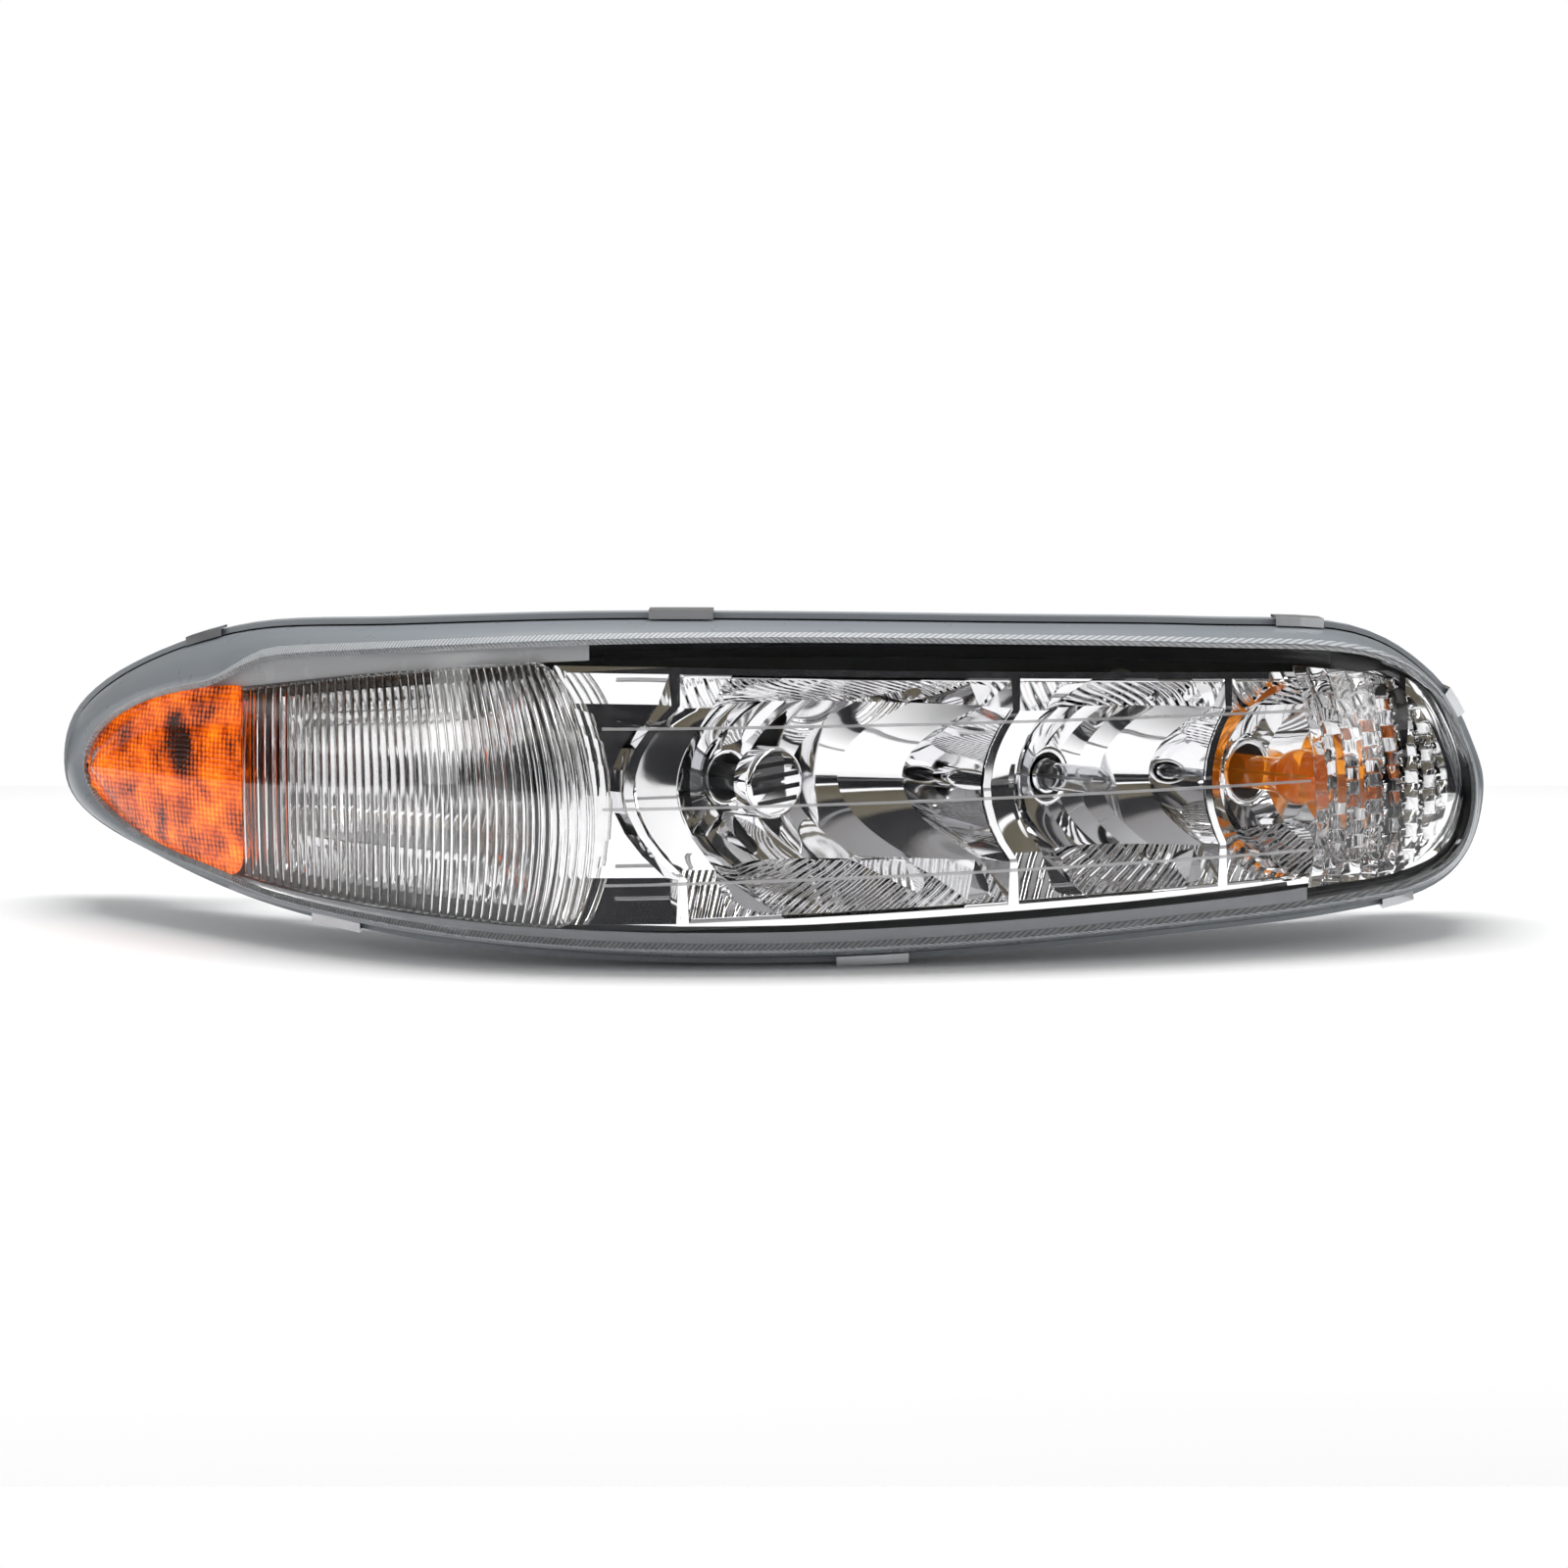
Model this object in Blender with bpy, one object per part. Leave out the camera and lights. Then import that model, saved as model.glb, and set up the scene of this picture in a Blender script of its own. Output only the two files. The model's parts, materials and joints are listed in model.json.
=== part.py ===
"""Car headlight assembly: the lens looks along -Y, its chord runs along X, and +Z is up.

Three frames are used. The chord frame has the model's own directions; a place in it is
written (p, q, z): p along the lens, q out of it. The optics frame is turned by SWEEP about Z:
its -Y is the car's straight ahead, and the bulbs lie along it. The aim frame stands on the
pivot ball and is turned by AIM_TURN, so that its X runs through the two upper ball joints.
All sizes below are in millimetres; the mesh builders turn them into metres.
"""

import math

import bmesh
import bpy
from mathutils import Vector

# ---------------------------------------------------------------- driving dimensions
MM = 0.001
GAP = 0.3                       # air between touching pieces
SWEEP = math.radians(40.0)      # how far the lens's chord is swept back from square
AIM_TURN = math.radians(8.0)

LENS_WALL = 3.0
LENS_CROWN = 6.0                # how far the lens's top and bottom edges lie behind its middle
SKIRT_DEPTH = 30.0              # from the lens's plan line back to its seal leg
LEG_DEPTH = 38.0                # end of the seal leg
CHANNEL_FLOOR = 42.0
SEAL_GAP = 1.0                  # over the seal and under it, where the tips twist the channel
LEG_GAP = 0.8                   # each side of the leg in its channel
FLANGE_BACK = 45.0
HOUSING_WALL = 2.5
LOOP_STEPS = 2                  # samples between neighbouring outline points
CAP_ROWS = 4

# Outlines, seen square to the chord, as (p, z): from the outer tip over the top to the
# inner tip and back underneath. Point k of one belongs to point k of the other.
FRONT_OUTLINE = (
    (-343, -11), (-331, 10), (-300, 27), (-250, 37), (-176, 48), (-90, 55), (0, 57.5),
    (100, 56), (190, 52.5), (262, 48), (297, 37), (315, 9), (320, -18), (314, -40),
    (294, -52), (250, -57), (190, -61.5), (100, -66.5), (0, -69.5), (-90, -68.5),
    (-176, -63.5), (-250, -56), (-300, -46.5), (-331, -30),
)
FLANGE_OUTLINE = (
    (-360, -14), (-350, 14), (-311, 40), (-250, 60), (-176, 66), (-90, 70), (0, 70),
    (100, 68), (190, 65.5), (264, 60), (306, 36), (329, 2), (336, -20), (328, -46),
    (303, -61), (250, -68), (190, -72), (100, -77.5), (0, -81), (-90, -79),
    (-176, -73), (-250, -64), (-308, -50), (-349, -34),
)
TIP_INDEX = 12                  # the outline point at the inner tip

# Plan curves, as (p, q).
LENS_PLAN = (
    (-370, -221), (-317, -161), (-270, -109), (-224, -65), (-175, -31), (-130, -11.5),
    (-86, -2.5), (-43, 0), (43, -5.7), (131, -22.6), (222, -51), (280, -79), (311, -105),
    (340, -142),
)
BACK_PLAN = (
    (-370, -304), (-300, -236), (-250, -190), (-200, -150), (-150, -122), (-100, -106),
    (-50, -99), (0, -101), (80, -112), (150, -132), (220, -162), (280, -192), (340, -222),
)
SPINE = (-315.0, 290.0)         # the chord's stretch that the outlines shrink towards

# The main reflector, in the optics frame.
BEZEL_SETBACK = 22.0            # behind the lens's plan line
REFLECTOR_WALL = 3.0
REFLECTOR_X = (-58.0, 284.0)
BEZEL_TOP = (47.0, 39.0)        # height at the outer and inner ends
BEZEL_BOTTOM = (-66.0, -49.0)
CEILING_RISE = 14.0             # from the bowls' curved backs out to the bezel
FLOOR_FALL = 20.0
LIP = 3.0                       # width of the rim between bowls
DRAFT = 0.8                     # slope of a bowl's side walls, over their depth
POCKET = 8.0                    # a bowl's least depth behind the bezel
BOWL_ROWS = 8
# Each bowl: x of its outer rim, that rim's bow, bulb x and z, back y, focal length, columns.
BOWLS = {
    "low": {"rim": -37.0, "bow": 28.0, "x": 28.0, "z": -4.5, "y": 79.0, "f": 17.5, "cols": 8},
    "high": {"rim": 94.0, "bow": 25.0, "x": 144.0, "z": -4.5, "y": -12.0, "f": 16.0, "cols": 7},
    "turn": {"rim": 190.0, "bow": 22.0, "x": 241.0, "z": -6.0, "y": -44.0, "f": 14.0, "cols": 6},
}
# Each bulb's hole and boss radii, and its seat behind the bowl's back.
SEATS = {"low": (12.0, 17.0, 13.0), "high": (12.0, 17.0, 13.0), "turn": (14.0, 18.0, 10.0)}
# Each service port's inner radius, and the y of its rear and front ends.
PORTS = {"low": (27.0, 149.0, 82.0), "high": (27.0, 60.0, 10.0), "turn": (25.0, 13.0, -23.0)}

# Fixed lamps at the outer end: (p, z) of the bulb, p from and to, bowl depth, bore radius,
# and the q of the housing tube's rear and front ends.
SIDE_LAMPS = {
    "corner": (-152.0, -6.0, -229.0, -114.0, 40.0, 13.0, -142.0, -110.0),
    "marker": (-284.0, -4.0, -328.0, -247.0, 34.0, 10.0, -241.0, -205.0),
}

# Aiming, in the aim frame: the pivot at its origin, one adjuster under it, one beside it.
PIVOT = Vector((157.5, 112.6, 34.0))    # in the chord frame
VERTICAL_ARM = 74.0
HORIZONTAL_ARM = 263.0
BALL_R = 5.5
SOCKET_R = 8.5
POST_R = 4.0
POST_OFFSET = 12.0
SCREW_R = 2.8
SCREW_REACH = 13.0              # past the ball, so that the nut never runs off
BUSHING_R = 5.5
# Each aim point: x, z, side of its post, distance from the ball back to the tube's end.
AIM_POINTS = {
    "pivot": (0.0, 0.0, -1, 30.0),
    "vertical": (0.0, -VERTICAL_ARM, -1, 30.0),
    "horizontal": (-HORIZONTAL_ARM, 0.0, 1, 38.0),
}

# Mounting pads on the back, facing straight back: (p, q, z) of the face and half sizes.
PADS = {
    "inner": ((262.0, -200.0, -3.0), (11.0, 22.0), (0.0, 14.0)),
    "outer": ((-222.0, -182.0, -3.0), (11.0, 22.0), (0.0, 14.0)),
    "lower": ((20.0, -122.0, -44.0), (24.0, 9.0), (15.0, 0.0)),
}
PAD_DEPTH = 34.0
PAD_SCREW_R = 2.3
ORIGIN = Vector((262.0, 200.0, -3.0))   # the inner pad's face, in the chord frame

INLET = (20.0, -116.0, 4.0)     # the harness inlet's foot
INLET_HALF = (17.0, 10.0)
INLET_DEPTH = 20.0
VENTS = {"inner": (137.0, -140.0, -8.0), "outer": (-122.0, -127.0, -26.0)}
CLIPS = (2.6, 5.5, 8.6, 10.4, 14.3, 17.6, 20.4)   # places round the flange, in outline points

# Colours
HOUSING_GREY = (0.30, 0.32, 0.34)
LENS_CLEAR = (0.9, 0.93, 0.95)
SEALANT = (0.06, 0.06, 0.06)
CLIP_STEEL = (0.62, 0.64, 0.66)
BRIGHT = (0.86, 0.87, 0.88)
AMBER = (0.95, 0.35, 0.02)
CLEAR_GLASS = (0.9, 0.92, 0.94)
AMBER_GLASS = (0.95, 0.38, 0.04)
BLACK_PLASTIC = (0.10, 0.10, 0.11)
RING_RED = (0.25, 0.08, 0.06)
CAP_RUBBER = (0.09, 0.09, 0.10)
SOFT_RUBBER = (0.04, 0.04, 0.04)
NYLON = (0.88, 0.87, 0.82)
PLATED_STEEL = (0.72, 0.70, 0.60)
STUD_STEEL = (0.70, 0.71, 0.72)
CONTACT_METAL = (0.80, 0.72, 0.50)
TOOL_GREY = (0.5, 0.5, 0.5)


# ---------------------------------------------------------------- curves and frames
def through(points, t):
    """A smooth value q at p = t on the curve through (p, q) points."""
    last = len(points) - 1
    i = next((k for k in range(last) if t <= points[k + 1][0]), last - 1)
    (x0, y0), (x1, y1) = points[i], points[i + 1]
    xa, ya = points[max(i - 1, 0)]
    xb, yb = points[min(i + 2, last)]
    m0, m1 = (y1 - ya) / (x1 - xa), (yb - y0) / (xb - x0)
    h = x1 - x0
    s = (t - x0) / h
    return (
        (2 * s**3 - 3 * s**2 + 1) * y0 + (s**3 - 2 * s**2 + s) * h * m0
        + (3 * s**2 - 2 * s**3) * y1 + (s**3 - s**2) * h * m1
    )


def on_loop(points, u):
    """The point at u, counted in outline points, on the closed smooth curve through them."""
    n, i = len(points), math.floor(u)
    a, b, c, d = (Vector(points[(i + k) % n]) for k in (-1, 0, 1, 2))
    s = u - i
    return 0.5 * (
        2 * b + (c - a) * s + (2 * a - 5 * b + 4 * c - d) * s**2
        + (3 * b - a - 3 * c + d) * s**3
    )


def lens_q(p):
    return through(LENS_PLAN, p)


def back_q(p):
    return through(BACK_PLAN, p)


def spine_point(point):
    """The spine point that an outline point shrinks towards: straight above or below, or
    out at the spine's end."""
    p = min(max(point.x, SPINE[0]), SPINE[1])
    return Vector((p, -7.0 if p > 0 else -7.0 + p / 50.0))


def inward(point, d):
    """The outline point moved by d towards the spine."""
    return point + (spine_point(point) - point).normalized() * d


def chord(p, q, z):
    """A chord place as the chord frame's own coordinates."""
    return Vector((p, -q, z))


def between(x, low, high, x0=REFLECTOR_X[0], x1=REFLECTOR_X[1]):
    return low + (high - low) * (x - x0) / (x1 - x0)


def samples():
    n = len(FRONT_OUTLINE) * LOOP_STEPS
    return [k / LOOP_STEPS for k in range(n)]


def rim(u, d, b):
    """A point of the flange: d inside the flange outline, b behind the lens's plan line."""
    at = on_loop(FLANGE_OUTLINE, u)
    moved = inward(at, d)
    return chord(moved.x, lens_q(at.x) - b, moved.y)


def shoulder(u, turn, d=0.0):
    """A point of the lens's rounded edge: turn 0 at its front face, 90 at the flange."""
    front, flange = on_loop(FRONT_OUTLINE, u), on_loop(FLANGE_OUTLINE, u)
    out, back = math.sin(turn), 1 - math.cos(turn)
    at = front.lerp(flange, out)
    q = (lens_q(front.x) - LENS_CROWN) * (1 - back) + (lens_q(flange.x) - SKIRT_DEPTH) * back
    moved = inward(at, d)
    return chord(moved.x, q - d * (1 - back), moved.y)


# ---------------------------------------------------------------- mesh builders
FORWARD = (math.pi / 2, 0, 0)   # turns a shape's +Z to its frame's front, -Y


def finish_mesh(name, verts, faces, colour, parent, rough=0.5, metallic=0.0, smooth=30):
    """A named object with one closed mesh, from points in millimetres."""
    mesh = bpy.data.meshes.new(name)
    mesh.from_pydata([Vector(v) * MM for v in verts], [], faces)
    bm = bmesh.new()
    bm.from_mesh(mesh)
    bmesh.ops.triangulate(bm, faces=bm.faces)
    bmesh.ops.recalc_face_normals(bm, faces=bm.faces)
    bm.to_mesh(mesh)
    bm.free()
    obj = bpy.data.objects.new(name, mesh)
    bpy.context.scene.collection.objects.link(obj)
    mesh.shade_smooth()
    mesh.set_sharp_from_angle(angle=math.radians(smooth))
    mesh.materials.append(material(name, colour, rough, metallic))
    obj.parent = parent
    return obj


def material(name, colour, rough, metallic):
    mat = bpy.data.materials.new(name)
    mat.use_nodes = True
    shader = mat.node_tree.nodes["Principled BSDF"]
    shader.inputs["Base Color"].default_value = (*colour[:3], 1.0)
    shader.inputs["Roughness"].default_value = rough
    shader.inputs["Metallic"].default_value = metallic
    return mat


def empty(name, parent=None, location=(0, 0, 0), turn=(0, 0, 0)):
    obj = bpy.data.objects.new(name, None)
    bpy.context.scene.collection.objects.link(obj)
    obj.parent = parent
    obj.location = Vector(location) * MM
    obj.rotation_euler = turn
    return obj


def strip(first, second, n, closed=True):
    """Quads between two rows of n vertex numbers, given by their first numbers."""
    last = n if closed else n - 1
    return [(first + k, first + (k + 1) % n, second + (k + 1) % n, second + k) for k in range(last)]


def rings_with_caps(loops, cap_rows, cap_q):
    """Vertices and faces of loops joined in order, the first and last closed by sheets.
    cap_q gives each sheet's q from a place (p, t), t running from 1 at the top to -1."""
    n = len(loops[0])
    verts = [v for loop in loops for v in loop]
    faces = []
    for k in range(len(loops) - 1):
        faces += strip(k * n, (k + 1) * n, n)
    for start, q_of in ((0, cap_q[0]), ((len(loops) - 1) * n, cap_q[1])):
        columns = []
        for i in range(1, n // 2):
            top, bottom = verts[start + i], verts[start + n - i]
            column = [start + i]
            for r in range(1, cap_rows):
                at = top.lerp(bottom, r / cap_rows)
                verts.append(chord(at.x, q_of(at.x, 1 - 2 * r / cap_rows), at.z))
                column.append(len(verts) - 1)
            columns.append(column + [start + n - i])
        for a, b in zip(columns, columns[1:]):
            faces += [(a[r], a[r + 1], b[r + 1], b[r]) for r in range(cap_rows)]
        for tip, column in ((start, columns[0]), (start + n // 2, columns[-1])):
            faces += [(tip, column[r], column[r + 1]) for r in range(cap_rows)]
    return verts, faces


def sheet_solid(front, back):
    """Vertices and faces of the solid between two equal grids of points. Each corner cell is
    split from its corner, so that no triangle folds onto the edge."""
    rows, cols = len(front), len(front[0])
    verts = [v for row in front for v in row] + [v for row in back for v in row]
    other = rows * cols
    faces = []
    for r in range(rows - 1):
        for c in range(cols - 1):
            a = r * cols + c
            cell = (a, a + 1, a + cols + 1, a + cols)
            if (r in (0, rows - 2)) and (c in (0, cols - 2)) and (r == 0) != (c == 0):
                cell = cell[1:] + cell[:1]
            for start in (0, other):
                at = [start + v for v in cell]
                corner = r in (0, rows - 2) and c in (0, cols - 2)
                faces += [(at[0], at[1], at[2]), (at[0], at[2], at[3])] if corner else [tuple(at)]
    edge = [c for c in range(cols)]
    edge += [r * cols + cols - 1 for r in range(1, rows)]
    edge += [(rows - 1) * cols + c for c in range(cols - 2, -1, -1)]
    edge += [r * cols for r in range(rows - 2, 0, -1)]
    n = len(edge)
    faces += [
        (edge[k], other + edge[k], other + edge[(k + 1) % n], edge[(k + 1) % n]) for k in range(n)
    ]
    return verts, faces


def swept(sections):
    """Vertices and faces of equal closed sections joined in order, both ends closed."""
    n = len(sections[0])
    verts = [v for section in sections for v in section]
    faces = [tuple(range(n)), tuple(reversed(range((len(sections) - 1) * n, len(sections) * n)))]
    for k in range(len(sections) - 1):
        faces += strip(k * n, (k + 1) * n, n)
    return verts, faces


def turned(profile, steps=20, closed=False):
    """Vertices and faces of a profile of (radius, height) turned about Z. A closed profile
    is a ring's section; an open one starts and ends on the axis."""
    verts, faces, rows = [], [], []
    for r, z in profile:
        if r < 1e-6:
            rows.append([len(verts)] * steps)
            verts.append((0, 0, z))
            continue
        rows.append(list(range(len(verts), len(verts) + steps)))
        for k in range(steps):
            a = 2 * math.pi * k / steps
            verts.append((r * math.cos(a), r * math.sin(a), z))
    pairs = list(zip(rows, rows[1:])) + ([(rows[-1], rows[0])] if closed else [])
    for low, high in pairs:
        for k in range(steps):
            j = (k + 1) % steps
            face = [low[k], low[j], high[j], high[k]]
            corners = [v for i, v in enumerate(face) if v not in face[:i]]
            faces.append(tuple(corners))
    return verts, faces


def box(low, high):
    """Vertices and faces of a plain block."""
    xs, ys, zs = zip(low, high)
    verts = [(x, y, z) for x in xs for y in ys for z in zs]
    faces = [(0, 1, 3, 2), (4, 6, 7, 5), (0, 4, 5, 1), (2, 3, 7, 6), (0, 2, 6, 4), (1, 5, 7, 3)]
    return verts, faces


def place(obj, location, turn=(0, 0, 0)):
    obj.location = Vector(location) * MM
    obj.rotation_euler = turn
    return obj


def combine(target, operation, shape, frame, location, turn=FORWARD):
    """Adds a shape to what is joined to target, or cut away from it, by one Boolean."""
    name = target.name + "_" + operation.lower()
    tools = bpy.data.collections.get(name)
    if tools is None:
        tools = bpy.data.collections.new(name)
        tools.hide_render = True
        bpy.context.scene.collection.children.link(tools)
        modifier = target.modifiers.new(name, "BOOLEAN")
        modifier.operation = operation
        modifier.operand_type = "COLLECTION"
        modifier.collection = tools
        modifier.solver = "EXACT"
    tool = finish_mesh(name + "_tool", *shape, TOOL_GREY, frame)
    place(tool, location, turn)
    tool.hide_render = True
    tool.display_type = "WIRE"
    bpy.context.scene.collection.objects.unlink(tool)
    tools.objects.link(tool)


def combine_here(target, operation, shape, frame):
    """Joins or cuts a shape that stands at its frame's origin, along the frame's own Z."""
    combine(target, operation, shape, frame, (0, 0, 0), (0, 0, 0))


def rod(radius, low, high, steps=20):
    """Vertices and faces of a plain round bar along Z."""
    return turned(((0, low), (radius, low), (radius, high), (0, high)), steps)


# ---------------------------------------------------------------- lens, seal and housing
def make_lens(parent):
    """The clear cover: front face, rounded edge and the leg that sits in the channel."""
    turns = [math.radians(a) for a in (0, 25, 55, 90)]
    us = samples()
    loops = [[shoulder(u, a) for u in us] for a in turns]
    loops.append([rim(u, 0, LEG_DEPTH) for u in us])
    loops.append([rim(u, LENS_WALL, LEG_DEPTH) for u in us])
    loops += [[shoulder(u, a, LENS_WALL) for u in us] for a in reversed(turns)]
    caps = (
        lambda p, t: lens_q(p) - LENS_CROWN * t * t,
        lambda p, t: lens_q(p) - LENS_CROWN * t * t - LENS_WALL,
    )
    verts, faces = rings_with_caps(loops, CAP_ROWS, caps)
    return finish_mesh("lens", verts, faces, LENS_CLEAR, parent, rough=0.05)


def make_seal(parent):
    """The bead of sealant between the lens's leg and the channel's floor."""
    corners = (
        (0.3, LEG_DEPTH + SEAL_GAP), (0.3, CHANNEL_FLOOR - SEAL_GAP),
        (LENS_WALL - 0.3, CHANNEL_FLOOR - SEAL_GAP), (LENS_WALL - 0.3, LEG_DEPTH + SEAL_GAP),
    )
    us = samples()
    n = len(us)
    verts = [rim(u, d, b) for d, b in corners for u in us]
    faces = []
    for k in range(len(corners)):
        faces += strip(k * n, (k + 1) % len(corners) * n, n)
    return finish_mesh("lens_seal", verts, faces, SEALANT, parent, rough=0.8)


def tub(u, d, ahead):
    """A point of the housing's deep rings: d inside the flange outline, and ahead of the
    back wall."""
    at = on_loop(FLANGE_OUTLINE, u)
    moved = inward(at, d)
    return chord(moved.x, back_q(moved.x) + ahead, moved.y)


def make_housing(frames):
    """The back shell: a channel for the lens's leg, side walls and a back wall with its
    service ports, adjuster tubes, mounting pads and vents."""
    us = samples()
    wall = HOUSING_WALL
    outer = [
        [rim(u, -LEG_GAP - wall, SKIRT_DEPTH) for u in us],
        [rim(u, -LEG_GAP - wall, FLANGE_BACK) for u in us],
        [rim(u, 6.0, FLANGE_BACK + 5) for u in us],
        [tub(u, 14.0, 10.0) for u in us],
        [tub(u, 20.0, 0.0) for u in us],
    ]
    inner = [
        [rim(u, -LEG_GAP, SKIRT_DEPTH) for u in us],
        [rim(u, -LEG_GAP, CHANNEL_FLOOR) for u in us],
        [rim(u, LENS_WALL + LEG_GAP, CHANNEL_FLOOR) for u in us],
        [rim(u, LENS_WALL + LEG_GAP, SKIRT_DEPTH + 4) for u in us],
        [rim(u, LENS_WALL + 3.0, SKIRT_DEPTH + 4) for u in us],
        [rim(u, 6.0 + wall, FLANGE_BACK + 4) for u in us],
        [tub(u, 14.0 + wall, 11.5) for u in us],
        [tub(u, 21.0, wall) for u in us],
    ]
    caps = (lambda p, t: back_q(p), lambda p, t: back_q(p) + wall)
    verts, faces = rings_with_caps(list(reversed(outer)) + inner, CAP_ROWS, caps)
    housing = finish_mesh("housing", verts, faces, HOUSING_GREY, frames["chord"], 0.55)
    for name, (inner_r, rear, front) in PORTS.items():
        bowl = BOWLS[name]
        end = (bowl["x"], rear, bowl["z"])
        add_tube(housing, frames["optics"], end, inner_r + wall, inner_r, rear - front, 20)
    for p, z, _, _, _, bore, rear, front in SIDE_LAMPS.values():
        end = chord(p, rear, z)
        add_tube(housing, frames["chord"], end, bore + wall, bore, front - rear, 16)
    for x, z, _, back in AIM_POINTS.values():
        bore = BUSHING_R + GAP
        add_tube(housing, frames["aim"], (x, back, z), bore + wall, bore, 14.0, 12)
    for (p, q, z), (half_p, half_z), (hole_p, hole_z) in PADS.values():
        block = box((-half_p, -half_z, 0), (half_p, half_z, PAD_DEPTH))
        combine(housing, "UNION", block, frames["chord"], chord(p, q, z))
        for side in (-1, 1):
            hole = rod(PAD_SCREW_R, -1.0, 14.0, 8)
            at = chord(p + side * hole_p, q, z + side * hole_z)
            combine(housing, "DIFFERENCE", hole, frames["chord"], at)
    p, q, z = INLET
    half_p, half_z = INLET_HALF
    block = box((-half_p - 2, -half_z - 2, 0), (half_p + 2, half_z + 2, 16.0))
    combine(housing, "UNION", block, frames["chord"], chord(p, q, z))
    for spot in VENTS.values():
        add_tube(housing, frames["chord"], chord(*spot), 4.5, 2.2, 22.0, 8)
    return housing


def add_tube(housing, frame, end, outer_r, inner_r, length, steps):
    """Joins a tube to the housing, from its rear end forwards, and bores it through."""
    combine(housing, "UNION", rod(outer_r, 0, length, steps), frame, end)
    combine(housing, "DIFFERENCE", rod(inner_r, -1.0, length + 1.0, steps), frame, end)


def make_clip(index, u, parent):
    """A spring clip over the housing's lip, holding the lens's edge down."""
    lip = -LEG_GAP - HOUSING_WALL
    corners = (
        (lip - GAP, FLANGE_BACK - 1), (lip - GAP - 1.2, FLANGE_BACK - 1),
        (lip - GAP - 1.2, SKIRT_DEPTH - 5), (-0.5, SKIRT_DEPTH - 5),
        (-0.5, SKIRT_DEPTH - 3.8), (lip - GAP, SKIRT_DEPTH - 3.8),
    )
    spread = 0.16
    sections = [[rim(u + k * spread, d, b) for d, b in corners] for k in (-1, 0, 1)]
    verts, faces = swept(sections)
    return finish_mesh("lens_clip_%d" % index, verts, faces, CLIP_STEEL, parent, 0.4)


# ---------------------------------------------------------------- main reflector
def bezel_y(x):
    """The y of the bezel's front edge at x, both in the optics frame."""
    c, s = math.cos(SWEEP), math.sin(SWEEP)
    low, high = -260.0, 260.0
    for _ in range(40):
        y = (low + high) / 2
        if -x * s - y * c > lens_q(x * c - y * s) - BEZEL_SETBACK:
            low = y
        else:
            high = y
    return low


def rim_x(name, z):
    """Where a bowl's outer rim stands at height z."""
    bowl = BOWLS[name]
    return bowl["rim"] + bowl["bow"] * min((z + 5.0) ** 2 / 2500.0, 1.0)


def bowl_y(name, x, z):
    bowl = BOWLS[name]
    return bowl["y"] - ((x - bowl["x"]) ** 2 + (z - bowl["z"]) ** 2) / (4 * bowl["f"])


def reflector_columns(z):
    """(x, section) from the outer end to the inner end at height z. The section is None on
    the rims, and says elsewhere which surface the column follows."""
    edges = [REFLECTOR_X[0]] + [rim_x(name, z) for name in BOWLS] + [REFLECTOR_X[1] + LIP]
    sections = ["plate"] + list(BOWLS)
    columns = []
    for k, name in enumerate(sections):
        left, right = edges[k], edges[k + 1] - LIP
        count = BOWLS[name]["cols"] if name in BOWLS else 2
        columns.append((left, None))
        for c in range(count):
            columns.append((left + DRAFT + (right - left - 2 * DRAFT) * c / (count - 1), name))
        columns.append((right, None))
    return columns


def reflector_front(x, z, section):
    if section is None:
        return bezel_y(x)
    deepest = bowl_y(section, x, z) if section in BOWLS else -1000.0
    return max(deepest, bezel_y(x) + POCKET)


def reflector_back(x, z):
    return REFLECTOR_WALL + max([bowl_y(name, x, z) for name in BOWLS] + [bezel_y(x) + POCKET])


def make_reflector(parent):
    """The chromed moulding with the three bowls, their bulb bosses and the aiming posts."""
    front, back = [], []
    rows = BOWL_ROWS + 3
    for r in range(rows):
        v = min(max((r - 1) / BOWL_ROWS, 0.0), 1.0)
        rise = {0: CEILING_RISE, rows - 1: -FLOOR_FALL}.get(r, 0.0)
        over = REFLECTOR_WALL if r < 2 else -REFLECTOR_WALL if r > rows - 3 else 0.0
        front_row, back_row = [], []
        columns = reflector_columns(0.0)
        for c in range(len(columns)):
            x = columns[c][0]
            top, bottom = between(x, *BEZEL_TOP), between(x, *BEZEL_BOTTOM)
            top, bottom = top - CEILING_RISE, bottom + FLOOR_FALL
            z = top + (bottom - top) * v
            x, section = reflector_columns(z)[c]
            edge = r in (0, rows - 1)
            y = bezel_y(x) if edge else reflector_front(x, z, section)
            front_row.append((x, y, z + rise))
            aside = -REFLECTOR_WALL if c < 2 else REFLECTOR_WALL if c > len(columns) - 3 else 0.0
            rim_edge = edge or c in (0, len(columns) - 1)
            y = bezel_y(x + aside) if rim_edge else reflector_back(x + aside, z)
            back_row.append((x + aside, y, z + rise + over))
        front.append(front_row)
        back.append(back_row)
    verts, faces = sheet_solid(front, back)
    obj = finish_mesh("reflector", verts, faces, BRIGHT, parent["moving_optics"], 0.08, 1.0)
    for name, (hole_r, boss_r, seat) in SEATS.items():
        bowl = BOWLS[name]
        reach = seat + boss_r**2 / (4 * bowl["f"]) - REFLECTOR_WALL + 0.3
        at = (bowl["x"], bowl["y"] + seat, bowl["z"])
        combine(obj, "UNION", rod(boss_r, 0, reach), parent["moving_optics"], at)
        combine(obj, "DIFFERENCE", rod(hole_r, -1, seat + 12), parent["moving_optics"], at)
    for x, z, side, _ in AIM_POINTS.values():
        at = (x + side * POST_OFFSET, -SOCKET_HALF - GAP, z)
        combine(obj, "UNION", rod(POST_R, 0, post_length(at), 12), parent["moving_aim"], at)
    return obj


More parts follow.
